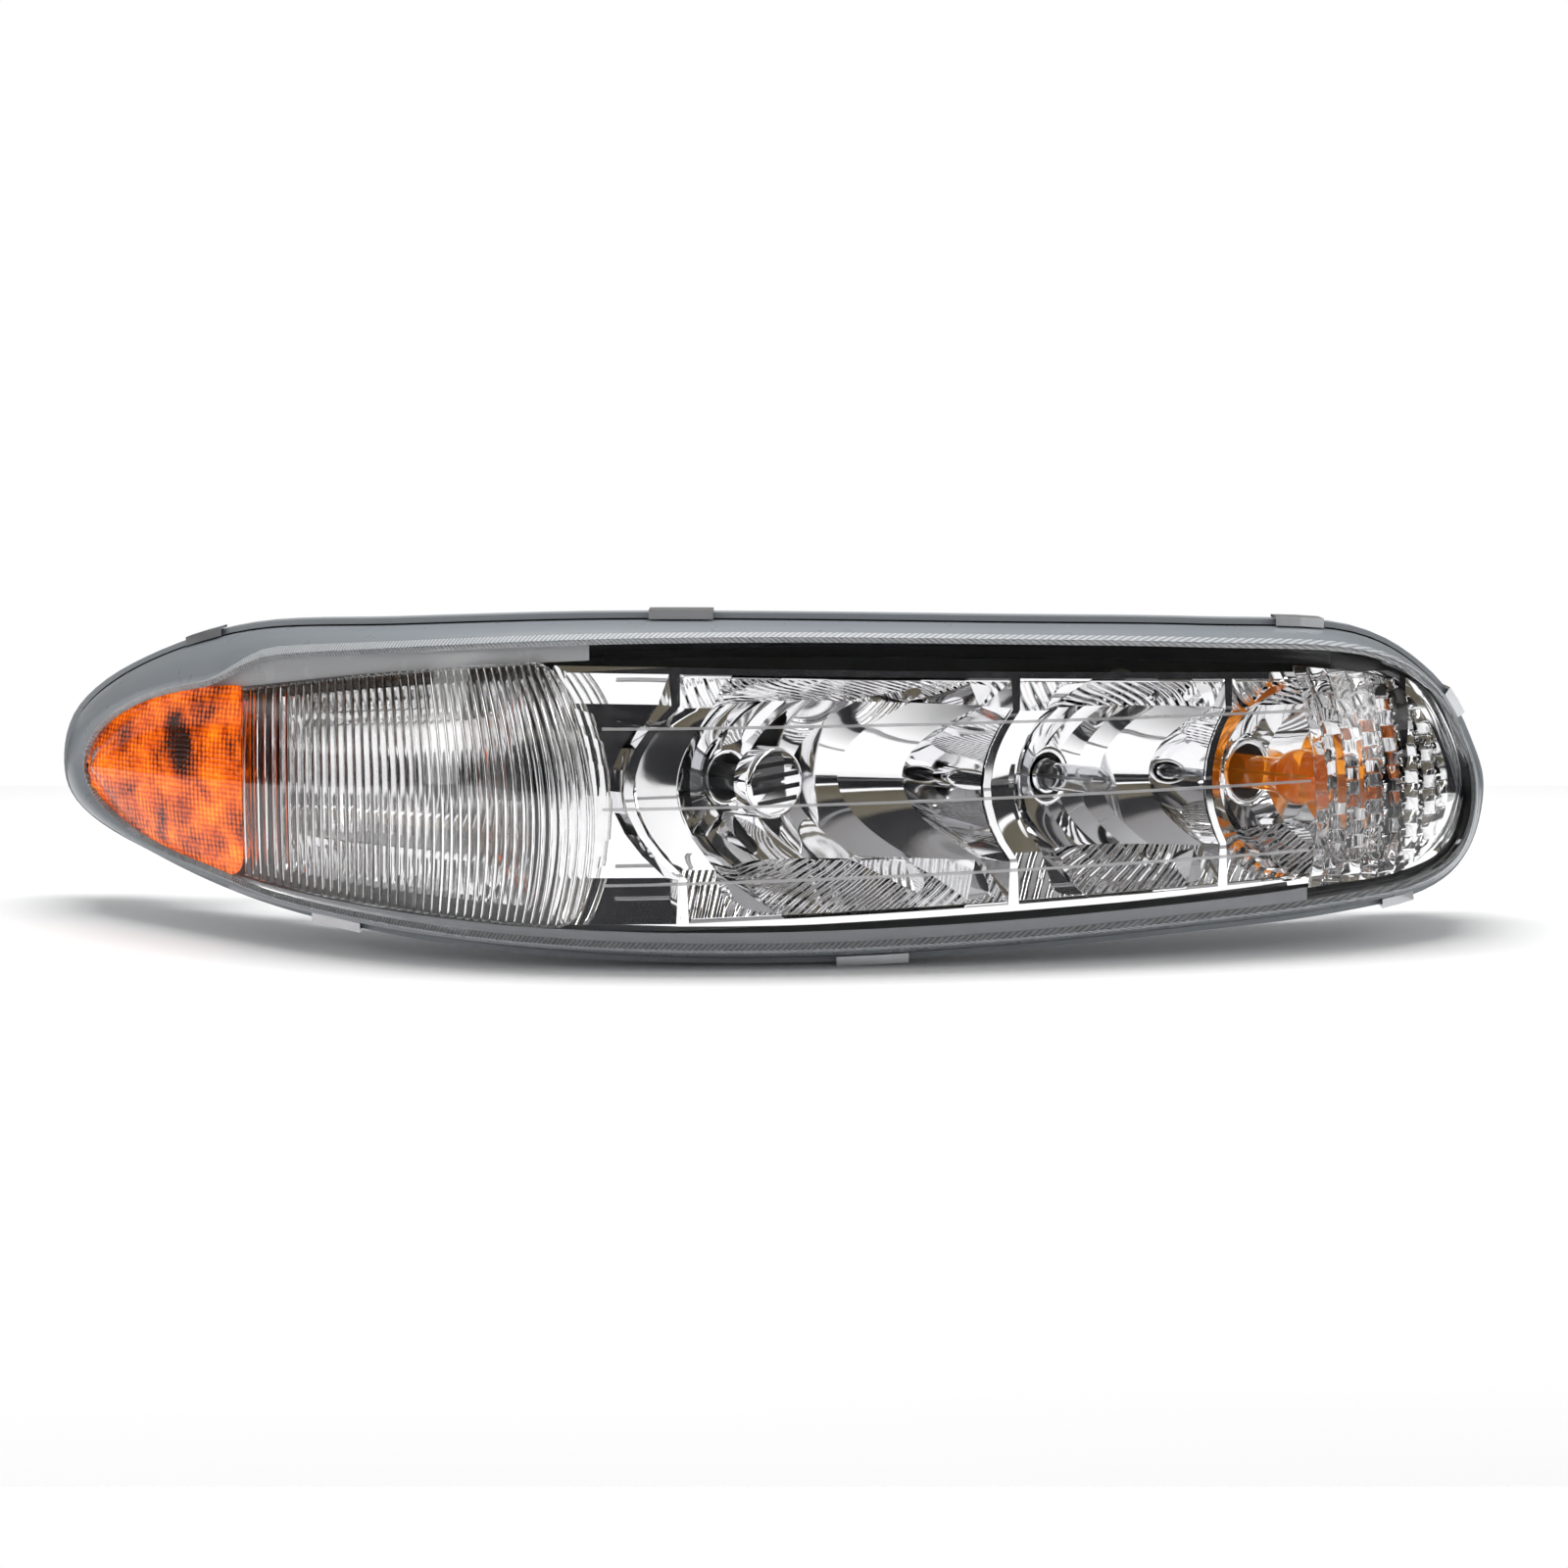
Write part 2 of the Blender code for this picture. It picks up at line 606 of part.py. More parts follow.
def post_length(at):
    """How far a post runs forward from a place in the aim frame before its rim is 1.5 mm
    into the reflector's back."""
    length = 0.0
    while length < 120.0:
        for k in range(8):
            a = math.pi * k / 4
            x, y = at[0] + POST_R * math.cos(a), at[1] - length
            z = at[2] + POST_R * math.sin(a) + PIVOT.z
            c, s = math.cos(AIM_TURN - SWEEP), math.sin(AIM_TURN - SWEEP)
            px, py = turned_back(PIVOT)
            ox, oy = px + x * c - y * s, py + x * s + y * c
            if oy < reflector_back(ox, z) - 1.5:
                return length
        length += 0.5
    return length


def turned_back(at):
    """A chord frame point's x and y in the optics frame."""
    c, s = math.cos(SWEEP), math.sin(SWEEP)
    return at.x * c + at.y * s, -at.x * s + at.y * c


# ---------------------------------------------------------------- side lamps
AMBER_SPAN = (-325.0, -252.0)   # p from and to
AMBER_SETBACK = 6.0             # behind the lens's outer face
AMBER_WALL = 2.6
AMBER_MARGIN = 2.0              # inside the front outline
AMBER_COLS = 8
AMBER_ROWS = 6
SIDE_SETBACK = 23.0             # of the side reflectors' edges behind the lens's plan line
SIDE_WALL = 2.5
TOP_EDGE = FRONT_OUTLINE[:TIP_INDEX + 1]
BOTTOM_EDGE = tuple(reversed(FRONT_OUTLINE[TIP_INDEX:]))


def tray(p0, p1, setback, depth, cols, rows, margin):
    """A grid of places on a dished surface behind the lens, following its sweep."""
    grid = []
    for r in range(rows + 1):
        t = 1 - 2 * r / rows
        row = []
        for c in range(cols + 1):
            s = 2 * c / cols - 1
            p = p0 + (p1 - p0) * c / cols
            top = through(TOP_EDGE, p) - margin
            bottom = through(BOTTOM_EDGE, max(p, BOTTOM_EDGE[0][0])) + margin
            z = (top + bottom) / 2 + t * (top - bottom) / 2
            row.append(chord(p, lens_q(p) - setback - depth * (1 - s**4) * (1 - t**4), z))
        grid.append(row)
    return grid


def make_side_reflector(name, frames):
    p, z, p0, p1, depth, bore, _, front = SIDE_LAMPS[name]
    wall, thick, margin = SIDE_WALL, 1.5, 9.0
    facing = tray(p0, p1, SIDE_SETBACK, depth, 10, 6, margin)
    behind = tray(p0 - wall, p1 + wall, SIDE_SETBACK + thick, depth + thick, 10, 6, margin - wall)
    verts, faces = sheet_solid(facing, behind)
    chord_frame = frames["chord"]
    obj = finish_mesh(name + "_reflector", verts, faces, BRIGHT, chord_frame, 0.1, 1.0)
    reach = lens_q(p) - SIDE_SETBACK - depth - front
    end = chord(p, front + GAP, z)
    combine(obj, "UNION", rod(bore + wall, 0, reach), chord_frame, end)
    combine(obj, "DIFFERENCE", rod(bore, -1, reach + depth), chord_frame, end)
    return obj


def lens_face(p, z):
    """The q of the lens's outer face."""
    top, bottom = through(TOP_EDGE, p), through(BOTTOM_EDGE, p)
    t = (2 * z - top - bottom) / (top - bottom)
    return lens_q(p) - LENS_CROWN * t * t


def make_amber(frames):
    """The amber piece, close behind the lens's outer end."""
    facing, behind = [], []
    for r in range(AMBER_ROWS + 1):
        front_row, back_row = [], []
        for c in range(AMBER_COLS + 1):
            p = AMBER_SPAN[0] + (AMBER_SPAN[1] - AMBER_SPAN[0]) * c / AMBER_COLS
            top = through(TOP_EDGE, p) - AMBER_MARGIN
            bottom = through(BOTTOM_EDGE, p) + AMBER_MARGIN
            z = top + (bottom - top) * r / AMBER_ROWS
            q = lens_face(p, z) - AMBER_SETBACK
            front_row.append(chord(p, q, z))
            back_row.append(chord(p, q - AMBER_WALL, z))
        facing.append(front_row)
        behind.append(back_row)
    verts, faces = sheet_solid(facing, behind)
    return finish_mesh("amber_side_lens", verts, faces, AMBER, frames["chord"], 0.15)


# ---------------------------------------------------------------- bulbs, sockets and caps
GLASS = {   # (radius, distance ahead of the seat) along each bulb's glass
    "low": ((6.3, 10.3), (6.3, 40), (4.5, 45), (0, 47)),
    "high": ((6.5, 10.3), (6.5, 50), (4.0, 56), (0, 58)),
    "turn": ((8, 10.3), (8, 36), (10, 42), (12.4, 47), (13.3, 52), (12.4, 57), (9, 62), (0, 65.3)),
    "corner": ((8, 34.3), (8, 50), (12, 58), (12.8, 64), (10, 71), (0, 75)),
    "marker": ((5, 36.3), (5, 52), (7.5, 58), (7.5, 64), (5, 69), (0, 70.5)),
}
PLUGS = {"low": 10.0, "high": 10.0, "turn": 10.0, "corner": 34.0, "marker": 36.0}
CATCH_R = {"low": 22.0, "high": 22.0, "turn": 20.0, "corner": 17.0, "marker": 14.0}


SHIELD_R = 16.5
SHIELD_FACE = 53.0              # its closed front, ahead of the seat
SHIELD_EDGE = 43.0              # its open rear
SHIELD_FOOT = 18.3              # where its bracket starts
SHIELD_SLOTS = (-6.0, -0.8, 4.4)


def make_bulb(name, parent, hole_r, flange_r):
    """Glass, base and sealing ring, along the local Z from the seat at 0."""
    colour = AMBER_GLASS if name == "turn" else CLEAR_GLASS
    verts, faces = turned([(0, GLASS[name][0][1])] + list(GLASS[name]), 16)
    glass = finish_mesh(name + "_bulb_glass", verts, faces, colour, parent, 0.03)
    plug, inner = PLUGS[name], hole_r - GAP
    profile = (
        (0, -18), (0.6 * flange_r, -18), (0.6 * flange_r, -7), (flange_r, -7),
        (flange_r, -2.6), (inner, -2.6), (inner, plug), (0, plug),
    )
    verts, faces = turned(profile, 16)
    base = finish_mesh(name + "_bulb_base", verts, faces, BLACK_PLASTIC, parent, 0.6)
    reach = 0.55 * flange_r
    combine_here(base, "UNION", box((-reach, -flange_r, -16), (reach, 0, -8)), parent)
    near, far = hole_r + 0.2, flange_r - 0.5
    section = ((near, -GAP), (far, -GAP), (far, -2.3), (near, -2.3))
    verts, faces = turned(section, 16, closed=True)
    ring = finish_mesh(name + "_bulb_ring", verts, faces, RING_RED, parent, 0.8)
    return [glass, base, ring]


def make_shield(parent):
    """The slotted cup in front of the low-beam bulb, on its bracket."""
    wall = 0.8
    r, face, edge = SHIELD_R, SHIELD_FACE, SHIELD_EDGE
    cup = (
        (0, face), (r, face), (r, edge), (r - wall, edge),
        (r - wall, face - wall), (0, face - wall),
    )
    verts, faces = turned(cup, 20)
    shield = finish_mesh("low_beam_shield", verts, faces, BRIGHT, parent, 0.1, 1.0)
    bracket = box((-3, -r + 0.05, SHIELD_FOOT), (3, -r + wall - 0.05, edge + 1))
    combine_here(shield, "UNION", bracket, parent)
    for y in SHIELD_SLOTS:
        slot = box((-9, y, face - 3), (9, y + 1.6, face + 2))
        combine_here(shield, "DIFFERENCE", slot, parent)
    return shield


def make_cap(name, parent):
    """A dust cap and its seal, behind a port's end at 0."""
    r = PORTS[name][0]
    tube = r + HOUSING_WALL
    outer = tube + 3.0
    profile = (
        (0, -5.4), (r - 6, -5.4), (r - 4, -8), (outer - 2, -8), (outer, -6), (outer, 8),
        (tube + 0.8, 8), (tube + 0.8, -2.6), (0, -2.6),
    )
    verts, faces = turned(profile, 24)
    cap = finish_mesh(name + "_dust_cap", verts, faces, CAP_RUBBER, parent, 0.6)
    grip = box((-(r - 4.5), -3.5, -13), (r - 4.5, 3.5, -4))
    combine_here(cap, "UNION", grip, parent)
    ring = ((r - 0.5, -0.3), (tube + 0.3, -0.3), (tube + 0.3, -2.3), (r - 0.5, -2.3))
    verts, faces = turned(ring, 20, closed=True)
    return cap, finish_mesh(name + "_cap_seal", verts, faces, SOFT_RUBBER, parent, 0.85)


# ---------------------------------------------------------------- aiming pieces
SOCKET_HALF = 3.0


def make_socket(name, side, parent):
    """The nylon ring round a ball, with the lug that the reflector's post carries."""
    ball = BALL_R + GAP
    waist = math.sqrt(ball**2 - 2.6**2)
    ring = (
        (waist, -SOCKET_HALF), (SOCKET_R, -SOCKET_HALF), (SOCKET_R, SOCKET_HALF),
        (waist, SOCKET_HALF), (ball + 0.05, 1.2), (ball + 0.05, -1.2),
    )
    verts, faces = turned(ring, 16, closed=True)
    obj = finish_mesh(name + "_ball_socket", verts, faces, NYLON, parent, 0.5)
    lug = box((6.8, -5, -SOCKET_HALF + 0.1), (POST_OFFSET + 5, 5, SOCKET_HALF - 0.1))
    combine(obj, "UNION", lug, parent, (0, 0, 0), (0, 0, 0 if side > 0 else math.pi))
    return obj


def make_ball(name, parent, bored):
    """The pivot's ball stud, or an adjuster's ball nut, which the screw runs through."""
    arc = [math.radians(a) for a in range(-60, 61, 20)]
    if bored:
        r = SCREW_R + GAP
        profile = [(r, -BALL_R * 0.8)] + [(BALL_R * math.cos(a), BALL_R * math.sin(a)) for a in arc]
        verts, faces = turned(profile + [(r, BALL_R * 0.8)], 16, closed=True)
        return finish_mesh(name + "_ball_nut", verts, faces, NYLON, parent, 0.5)
    back = AIM_POINTS[name][3]
    profile = [(0, -back - 4), (7, -back - 4), (7, -back - GAP), (BUSHING_R, -back - GAP)]
    profile += [(BUSHING_R, -back + 12), (3, -back + 12)]
    profile += [(BALL_R * math.cos(a), BALL_R * math.sin(a)) for a in arc] + [(0, BALL_R * 0.95)]
    verts, faces = turned(profile, 16)
    return finish_mesh(name + "_ball_stud", verts, faces, STUD_STEEL, parent, 0.3, 1.0)


def make_adjuster(name, parent):
    """The screw and the bushing that it turns in."""
    back = AIM_POINTS[name][3]
    profile = (
        (0, -back - 16), (5, -back - 16), (5, -back - 8), (SCREW_R, -back - 8),
        (SCREW_R, SCREW_REACH), (0, SCREW_REACH),
    )
    verts, faces = turned(profile, 12)
    screw = finish_mesh(name + "_screw", verts, faces, PLATED_STEEL, parent, 0.35, 1.0)
    slot = box((-0.9, -6, -back - 17), (0.9, 6, -back - 13.5))
    combine_here(screw, "DIFFERENCE", slot, parent)
    bore = SCREW_R + GAP
    section = (
        (bore, -back - 7.5), (8, -back - 7.5), (8, -back - GAP), (BUSHING_R, -back - GAP),
        (BUSHING_R, -back + 13), (bore, -back + 13),
    )
    verts, faces = turned(section, 12, closed=True)
    bushing = finish_mesh(name + "_bushing", verts, faces, BLACK_PLASTIC, parent, 0.6)
    return screw, bushing


# ---------------------------------------------------------------- inlet and vents
def make_inlet(parent):
    """The harness inlet: an open shroud on its foot, with four blades inside."""
    half_p, half_z = INLET_HALF
    shroud = finish_mesh(
        "harness_inlet", *box((-half_p, -half_z, -INLET_DEPTH), (half_p, half_z, -GAP)),
        BLACK_PLASTIC, parent, 0.6,
    )
    hollow = box((-half_p + 2, -half_z + 2, -INLET_DEPTH - 1), (half_p - 2, half_z - 2, -5))
    combine_here(shroud, "DIFFERENCE", hollow, parent)
    pins = []
    for k in range(4):
        x = -10.5 + 7 * k
        verts, faces = box((x - 1.4, -0.4, -17), (x + 1.4, 0.4, -5 - GAP))
        name = "inlet_blade_%d" % (k + 1)
        pins.append(finish_mesh(name, verts, faces, CONTACT_METAL, parent, 0.3, 1.0))
    return [shroud] + pins


def make_vent(name, parent):
    """A soft breather cap over a nipple."""
    profile = ((0, -6), (6.5, -6), (8, -4), (8, 8), (4.8, 8), (4.8, -2), (0, -2))
    verts, faces = turned(profile, 16)
    return finish_mesh(name + "_vent_cap", verts, faces, SOFT_RUBBER, parent, 0.8)


# ---------------------------------------------------------------- assembly
def make_frames():
    """The fixed frames, and the frames that turn about the pivot with the reflector."""
    frames = {"chord": empty("chord_frame", None, -ORIGIN)}
    frames["optics"] = empty("optics_frame", frames["chord"], turn=(0, 0, SWEEP))
    frames["aim"] = empty("aim_frame", frames["chord"], PIVOT, (0, 0, AIM_TURN))
    frames["horizontal"] = empty("horizontal_aim", frames["aim"])
    frames["moving_aim"] = empty("vertical_aim", frames["horizontal"])
    c, s = math.cos(AIM_TURN), math.sin(AIM_TURN)
    back = (-PIVOT.x * c - PIVOT.y * s, PIVOT.x * s - PIVOT.y * c, -PIVOT.z)
    turn = (0, 0, SWEEP - AIM_TURN)
    frames["moving_optics"] = empty("moving_optics", frames["moving_aim"], back, turn)
    return frames


def build():
    for obj in list(bpy.data.objects):
        bpy.data.objects.remove(obj)
    frames = make_frames()
    make_housing(frames)
    make_lens(frames["chord"])
    make_seal(frames["chord"])
    for index, u in enumerate(CLIPS):
        make_clip(index + 1, u, frames["chord"])
    make_reflector(frames)
    for name, bowl in BOWLS.items():
        hole_r, boss_r, seat = SEATS[name]
        back = (bowl["x"], bowl["y"] + seat, bowl["z"])
        at = empty(name + "_seat", frames["moving_optics"], back, FORWARD)
        make_bulb(name, at, hole_r, boss_r)
        if name == "low":
            make_shield(at)
        end = (bowl["x"], PORTS[name][1], bowl["z"])
        make_cap(name, empty(name + "_port", frames["optics"], end, FORWARD))
    for name, (p, z, _, _, _, bore, rear, _) in SIDE_LAMPS.items():
        make_side_reflector(name, frames)
        at = empty(name + "_seat", frames["chord"], chord(p, rear, z), FORWARD)
        make_bulb(name, at, bore, bore + HOUSING_WALL)
    make_amber(frames)
    for name, (x, z, side, _) in AIM_POINTS.items():
        holder = frames["horizontal"] if name == "pivot" else frames["moving_aim"]
        make_socket(name, side, empty(name + "_socket_axis", holder, (x, 0, z), FORWARD))
        axis = empty(name + "_axis", frames["aim"], (x, 0, z), FORWARD)
        make_ball(name, axis, bored=name != "pivot")
        if name != "pivot":
            make_adjuster(name, axis)
    make_inlet(empty("inlet_axis", frames["chord"], chord(*INLET), FORWARD))
    for name, spot in VENTS.items():
        make_vent(name, empty(name + "_vent_axis", frames["chord"], chord(*spot), FORWARD))


build()
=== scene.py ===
"""Looks of the car headlight assembly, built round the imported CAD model.

Places are worked out in millimetres in the chord frame, which has the model's directions:
X along the lens, -Y out of it, +Z up. A chord place is written (p, q, z), with q out of the
lens. The optics frame is turned by SWEEP about Z, and its -Y is the car's straight ahead.
"""

import json
import math

import bmesh
import bpy
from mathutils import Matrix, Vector

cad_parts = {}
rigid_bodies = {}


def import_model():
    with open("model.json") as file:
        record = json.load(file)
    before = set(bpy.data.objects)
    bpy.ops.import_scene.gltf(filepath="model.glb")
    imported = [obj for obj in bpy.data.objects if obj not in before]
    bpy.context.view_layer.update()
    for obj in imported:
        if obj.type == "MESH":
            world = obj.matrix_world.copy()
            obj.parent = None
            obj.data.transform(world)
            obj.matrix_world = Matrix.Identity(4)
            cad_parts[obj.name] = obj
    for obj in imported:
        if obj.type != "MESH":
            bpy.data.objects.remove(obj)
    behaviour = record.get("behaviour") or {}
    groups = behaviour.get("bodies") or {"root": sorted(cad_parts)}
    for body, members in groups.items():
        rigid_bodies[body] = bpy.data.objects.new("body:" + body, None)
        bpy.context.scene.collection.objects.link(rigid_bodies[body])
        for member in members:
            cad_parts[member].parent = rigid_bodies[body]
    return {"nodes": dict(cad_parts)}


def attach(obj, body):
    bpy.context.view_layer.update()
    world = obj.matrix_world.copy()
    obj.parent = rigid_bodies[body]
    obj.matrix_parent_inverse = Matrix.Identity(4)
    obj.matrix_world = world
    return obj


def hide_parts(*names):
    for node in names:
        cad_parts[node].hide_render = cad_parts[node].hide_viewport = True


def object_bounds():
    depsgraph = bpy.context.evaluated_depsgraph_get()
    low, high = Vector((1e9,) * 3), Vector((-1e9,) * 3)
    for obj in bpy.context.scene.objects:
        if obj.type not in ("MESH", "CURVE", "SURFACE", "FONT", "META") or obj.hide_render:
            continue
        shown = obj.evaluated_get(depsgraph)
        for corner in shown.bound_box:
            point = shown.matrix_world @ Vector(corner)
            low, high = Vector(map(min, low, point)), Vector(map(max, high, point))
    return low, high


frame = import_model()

CAD_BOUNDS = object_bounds()

# ---------------------------------------------------------------- the design's dimensions
MM = 0.001
GAP = 0.3
SWEEP = math.radians(40.0)
AIM_TURN = math.radians(8.0)
ORIGIN = Vector((262.0, 200.0, -3.0))
PIVOT = Vector((157.5, 112.6, 34.0))

LENS_WALL = 3.0
LENS_CROWN = 6.0
SKIRT_DEPTH = 30.0
LEG_DEPTH = 38.0
CHANNEL_FLOOR = 42.0
FLANGE_BACK = 45.0
HOUSING_WALL = 2.5
LOOP_STEPS = 8
FACE_TURNS = (7.0, 30.0)        # where the clear face ends on the rounded edge, in degrees,
BAND_TURNS = (9.0, 42.0)        # and where the band ends: at the amber end, and elsewhere
TURN_CHANGE = (-275.0, -235.0)  # p between which the one becomes the other
BAND_GAPS = (0.5, 0.3)          # degrees from the band's two ends to its neighbours
CAP_ROWS = 22

FRONT_OUTLINE = (
    (-343, -11), (-331, 10), (-300, 27), (-250, 37), (-176, 48), (-90, 55), (0, 57.5),
    (100, 56), (190, 52.5), (262, 48), (297, 37), (315, 9), (320, -18), (314, -40),
    (294, -52), (250, -57), (190, -61.5), (100, -66.5), (0, -69.5), (-90, -68.5),
    (-176, -63.5), (-250, -56), (-300, -46.5), (-331, -30),
)
FLANGE_OUTLINE = (
    (-360, -14), (-350, 14), (-311, 40), (-250, 60), (-176, 66), (-90, 70), (0, 70),
    (100, 68), (190, 65.5), (264, 60), (306, 36), (329, 2), (336, -20), (328, -46),
    (303, -61), (250, -68), (190, -72), (100, -77.5), (0, -81), (-90, -79),
    (-176, -73), (-250, -64), (-308, -50), (-349, -34),
)
TIP_INDEX = 12
TOP_EDGE = FRONT_OUTLINE[:TIP_INDEX + 1]
BOTTOM_EDGE = tuple(reversed(FRONT_OUTLINE[TIP_INDEX:]))
LENS_PLAN = (
    (-370, -221), (-317, -161), (-270, -109), (-224, -65), (-175, -31), (-130, -11.5),
    (-86, -2.5), (-43, 0), (43, -5.7), (131, -22.6), (222, -51), (280, -79), (311, -105),
    (340, -142),
)
BACK_PLAN = (
    (-370, -304), (-300, -236), (-250, -190), (-200, -150), (-150, -122), (-100, -106),
    (-50, -99), (0, -101), (80, -112), (150, -132), (220, -162), (280, -192), (340, -222),
)
SPINE = (-315.0, 290.0)

BEZEL_SETBACK = 22.0
REFLECTOR_X = (-58.0, 284.0)
BEZEL_TOP = (47.0, 39.0)
BEZEL_BOTTOM = (-66.0, -49.0)
CEILING_RISE = 14.0
FLOOR_FALL = 20.0
LIP = 3.0
DRAFT = 0.8
POCKET = 8.0
BOWLS = {
    "low": {"rim": -37.0, "bow": 28.0, "x": 28.0, "z": -4.5, "y": 79.0, "f": 17.5},
    "high": {"rim": 94.0, "bow": 25.0, "x": 144.0, "z": -4.5, "y": -12.0, "f": 16.0},
    "turn": {"rim": 190.0, "bow": 22.0, "x": 241.0, "z": -6.0, "y": -44.0, "f": 14.0},
}
FACETS = {      # edges of each bowl's flat facets, as shares of its width
    "low": (0.0, 0.13, 0.28, 0.44, 0.60, 0.745, 0.865, 1.0),
    "high": (0.0, 0.18, 0.34, 0.52, 0.62, 0.73, 0.83, 1.0),
    "turn": (0.0, 0.2, 0.38, 0.56, 0.7, 0.84, 1.0),
}
FACET_COLS = 5
SHELF_ROWS = 14                 # rows of a bowl's ceiling, and of its floor
BACK_ROWS = 56
SEATS = {"low": (12.0, 17.0, 13.0), "high": (12.0, 17.0, 13.0), "turn": (14.0, 18.0, 10.0)}
PORTS = {"low": (27.0, 149.0, 82.0), "high": (27.0, 60.0, 10.0), "turn": (25.0, 13.0, -23.0)}
SIDE_LAMPS = {
    "corner": (-152.0, -6.0, -229.0, -114.0, 40.0, 13.0, -142.0, -110.0),
    "marker": (-284.0, -4.0, -328.0, -247.0, 34.0, 10.0, -241.0, -205.0),
}
FACET_ANGLE = 5                 # a sharper fold than this shows as an edge
SKIN = 1.6                      # how far the bright skins lie ahead of the CAD surfaces
AIM_POINTS = {
    "pivot": (0.0, 0.0, 30.0), "vertical": (0.0, -74.0, 30.0), "horizontal": (-263.0, 0.0, 38.0),
}
BUSHING_R = 5.5
SCREW_R = 2.8
PADS = {
    "inner": ((262.0, -200.0, -3.0), (11.0, 22.0), (0.0, 14.0)),
    "outer": ((-222.0, -182.0, -3.0), (11.0, 22.0), (0.0, 14.0)),
    "lower": ((20.0, -122.0, -44.0), (24.0, 9.0), (15.0, 0.0)),
}
PAD_DEPTH = 34.0
PAD_SCREW_R = 2.3
INLET = (20.0, -116.0, 4.0)
INLET_HALF = (17.0, 10.0)
VENTS = {"inner": (137.0, -140.0, -8.0), "outer": (-122.0, -127.0, -26.0)}

PLATE_AHEAD = 3.4               # a window's moulded plate, behind the lens's outer face
PLATE_WALL = 0.8
WINDOW_MARGIN = 3.0
FLUTE_WINDOW = (-251.0, -84.0)  # p from and to
FLUTE_PITCH = 4.1
AMBER_WINDOW = (-341.0, -252.0)
PRISM_WINDOW = (243.0, 311.0)
PRISM_PITCH = (9.2, 6.2)
RIBS = ((23.5, 27.0), (-12.0, -5.0), (-46.0, -37.0))   # z at the main window's two ends
RIB_SPAN = (-80.0, 240.0)
RIB_HALF = 0.6
GLARE_SPAN = (-80.0, 250.0)
SHELF_SPAN = (-300.0, -86.0)
LOWER_SPAN = (-262.0, 240.0)
END_SPAN = (288.0, 317.5)
SHIELD_SLOTS = (-8.2, -2.6, 3.0, 8.6)
SLOT_TILT = math.radians(5)
GLASS_WALL = 0.7
SUPPORT_R = 0.6
COIL_R = 0.55
COIL_TURNS = 9
THREAD_R = SCREW_R - 0.5
THREAD_LEAD = 1.5
THREAD_DEPTH = 0.32
CAP_RIBS = 24

STUDIO = (      # the gloss's world: height from straight down 0 to straight up 1, and colour
    (0.0, (0.75, 0.75, 0.75)), (0.42, (0.62, 0.62, 0.62)), (0.44, (0.02, 0.02, 0.022)),
    (0.530, (0.02, 0.02, 0.022)), (0.536, (1.3, 1.3, 1.3)), (0.546, (1.3, 1.3, 1.3)),
    (0.551, (0.12, 0.105, 0.075)), (0.66, (0.16, 0.14, 0.105)), (0.68, (0.02, 0.02, 0.022)),
    (0.77, (0.03, 0.03, 0.032)), (0.80, (0.26, 0.25, 0.25)), (0.90, (0.34, 0.34, 0.35)),
    (1.0, (0.6, 0.6, 0.6)),
)
AMBER_HOLE_SHADE = Vector((-288.0, 122.0, 6.0))   # the painted shade of the bulb's hole, seen through the amber
AMBER_HOLE_SHADE_HALF = (8.0, 17.0)               # its half width and half height
AMBER_LIGHT_STOPS = (0.0, 0.16, 0.34, 0.56)      # the stops of the two rows of colours below, painted light and shade
# Painted light: base colours from painted shade up to painted glints, and a painted glow.
AMBER_PAINTED_BASE = ((0.05, 0.006, 0.0), (0.62, 0.080, 0.0), (1.0, 0.21, 0.0), (1.0, 0.50, 0.02))
AMBER_PAINTED_GLOW = ((0.01, 0.001, 0.0), (0.50, 0.060, 0.0), (1.0, 0.20, 0.0), (1.0, 0.48, 0.01))
FLOOR = (-1000.0, 640.0, -760.0, 800.0)     # its ends along X and Y
MATT_LIGHT = 0.48
WHITE = (1.0, 1.0, 1.0)
LIGHTS = {      # each lamp's place, size in metres and watts
    "overhead": ((0, 220, 1500), (1.5, 0.5), 24.0),
    "right_strip": ((1500, -500, 500), (0.25, 1.2), 3.0),
    "left_strip": ((-1300, -900, 450), (0.25, 1.2), 3.0),
}
CAMERA_DISTANCE = 1600.0
CAMERA_ELEVATION = math.radians(6.0)
CAMERA_LENS = 83.7


# ---------------------------------------------------------------- curves
def through(points, t):
    """The value at t on the smooth curve through (t, value) points."""
    last = len(points) - 1
    i = next((k for k in range(last) if t <= points[k + 1][0]), last - 1)
    (x0, y0), (x1, y1) = points[i], points[i + 1]
    xa, ya = points[max(i - 1, 0)]
    xb, yb = points[min(i + 2, last)]
    m0, m1 = (y1 - ya) / (x1 - xa), (yb - y0) / (xb - x0)
    h = x1 - x0
    s = (t - x0) / h
    return (
        (2 * s**3 - 3 * s**2 + 1) * y0 + (s**3 - 2 * s**2 + s) * h * m0
        + (3 * s**2 - 2 * s**3) * y1 + (s**3 - s**2) * h * m1
    )


def on_loop(points, u):
    """The point at u, counted in outline points, on the closed smooth curve through them."""
    n, i = len(points), math.floor(u)
    a, b, c, d = (Vector(points[(i + k) % n]) for k in (-1, 0, 1, 2))
    s = u - i
    return 0.5 * (
        2 * b + (c - a) * s + (2 * a - 5 * b + 4 * c - d) * s**2
        + (3 * b - a - 3 * c + d) * s**3
    )


def lens_q(p):
    return through(LENS_PLAN, p)


def back_q(p):
    return through(BACK_PLAN, p)


def inward(point, d):
    """The outline point moved by d towards the spine."""
    p = min(max(point.x, SPINE[0]), SPINE[1])
    centre = Vector((p, -7.0 if p > 0 else -7.0 + p / 50.0))
    return point + (centre - point).normalized() * d


def chord(p, q, z):
    return Vector((p, -q, z))


def between(x, low, high, x0=REFLECTOR_X[0], x1=REFLECTOR_X[1]):
    return low + (high - low) * (x - x0) / (x1 - x0)


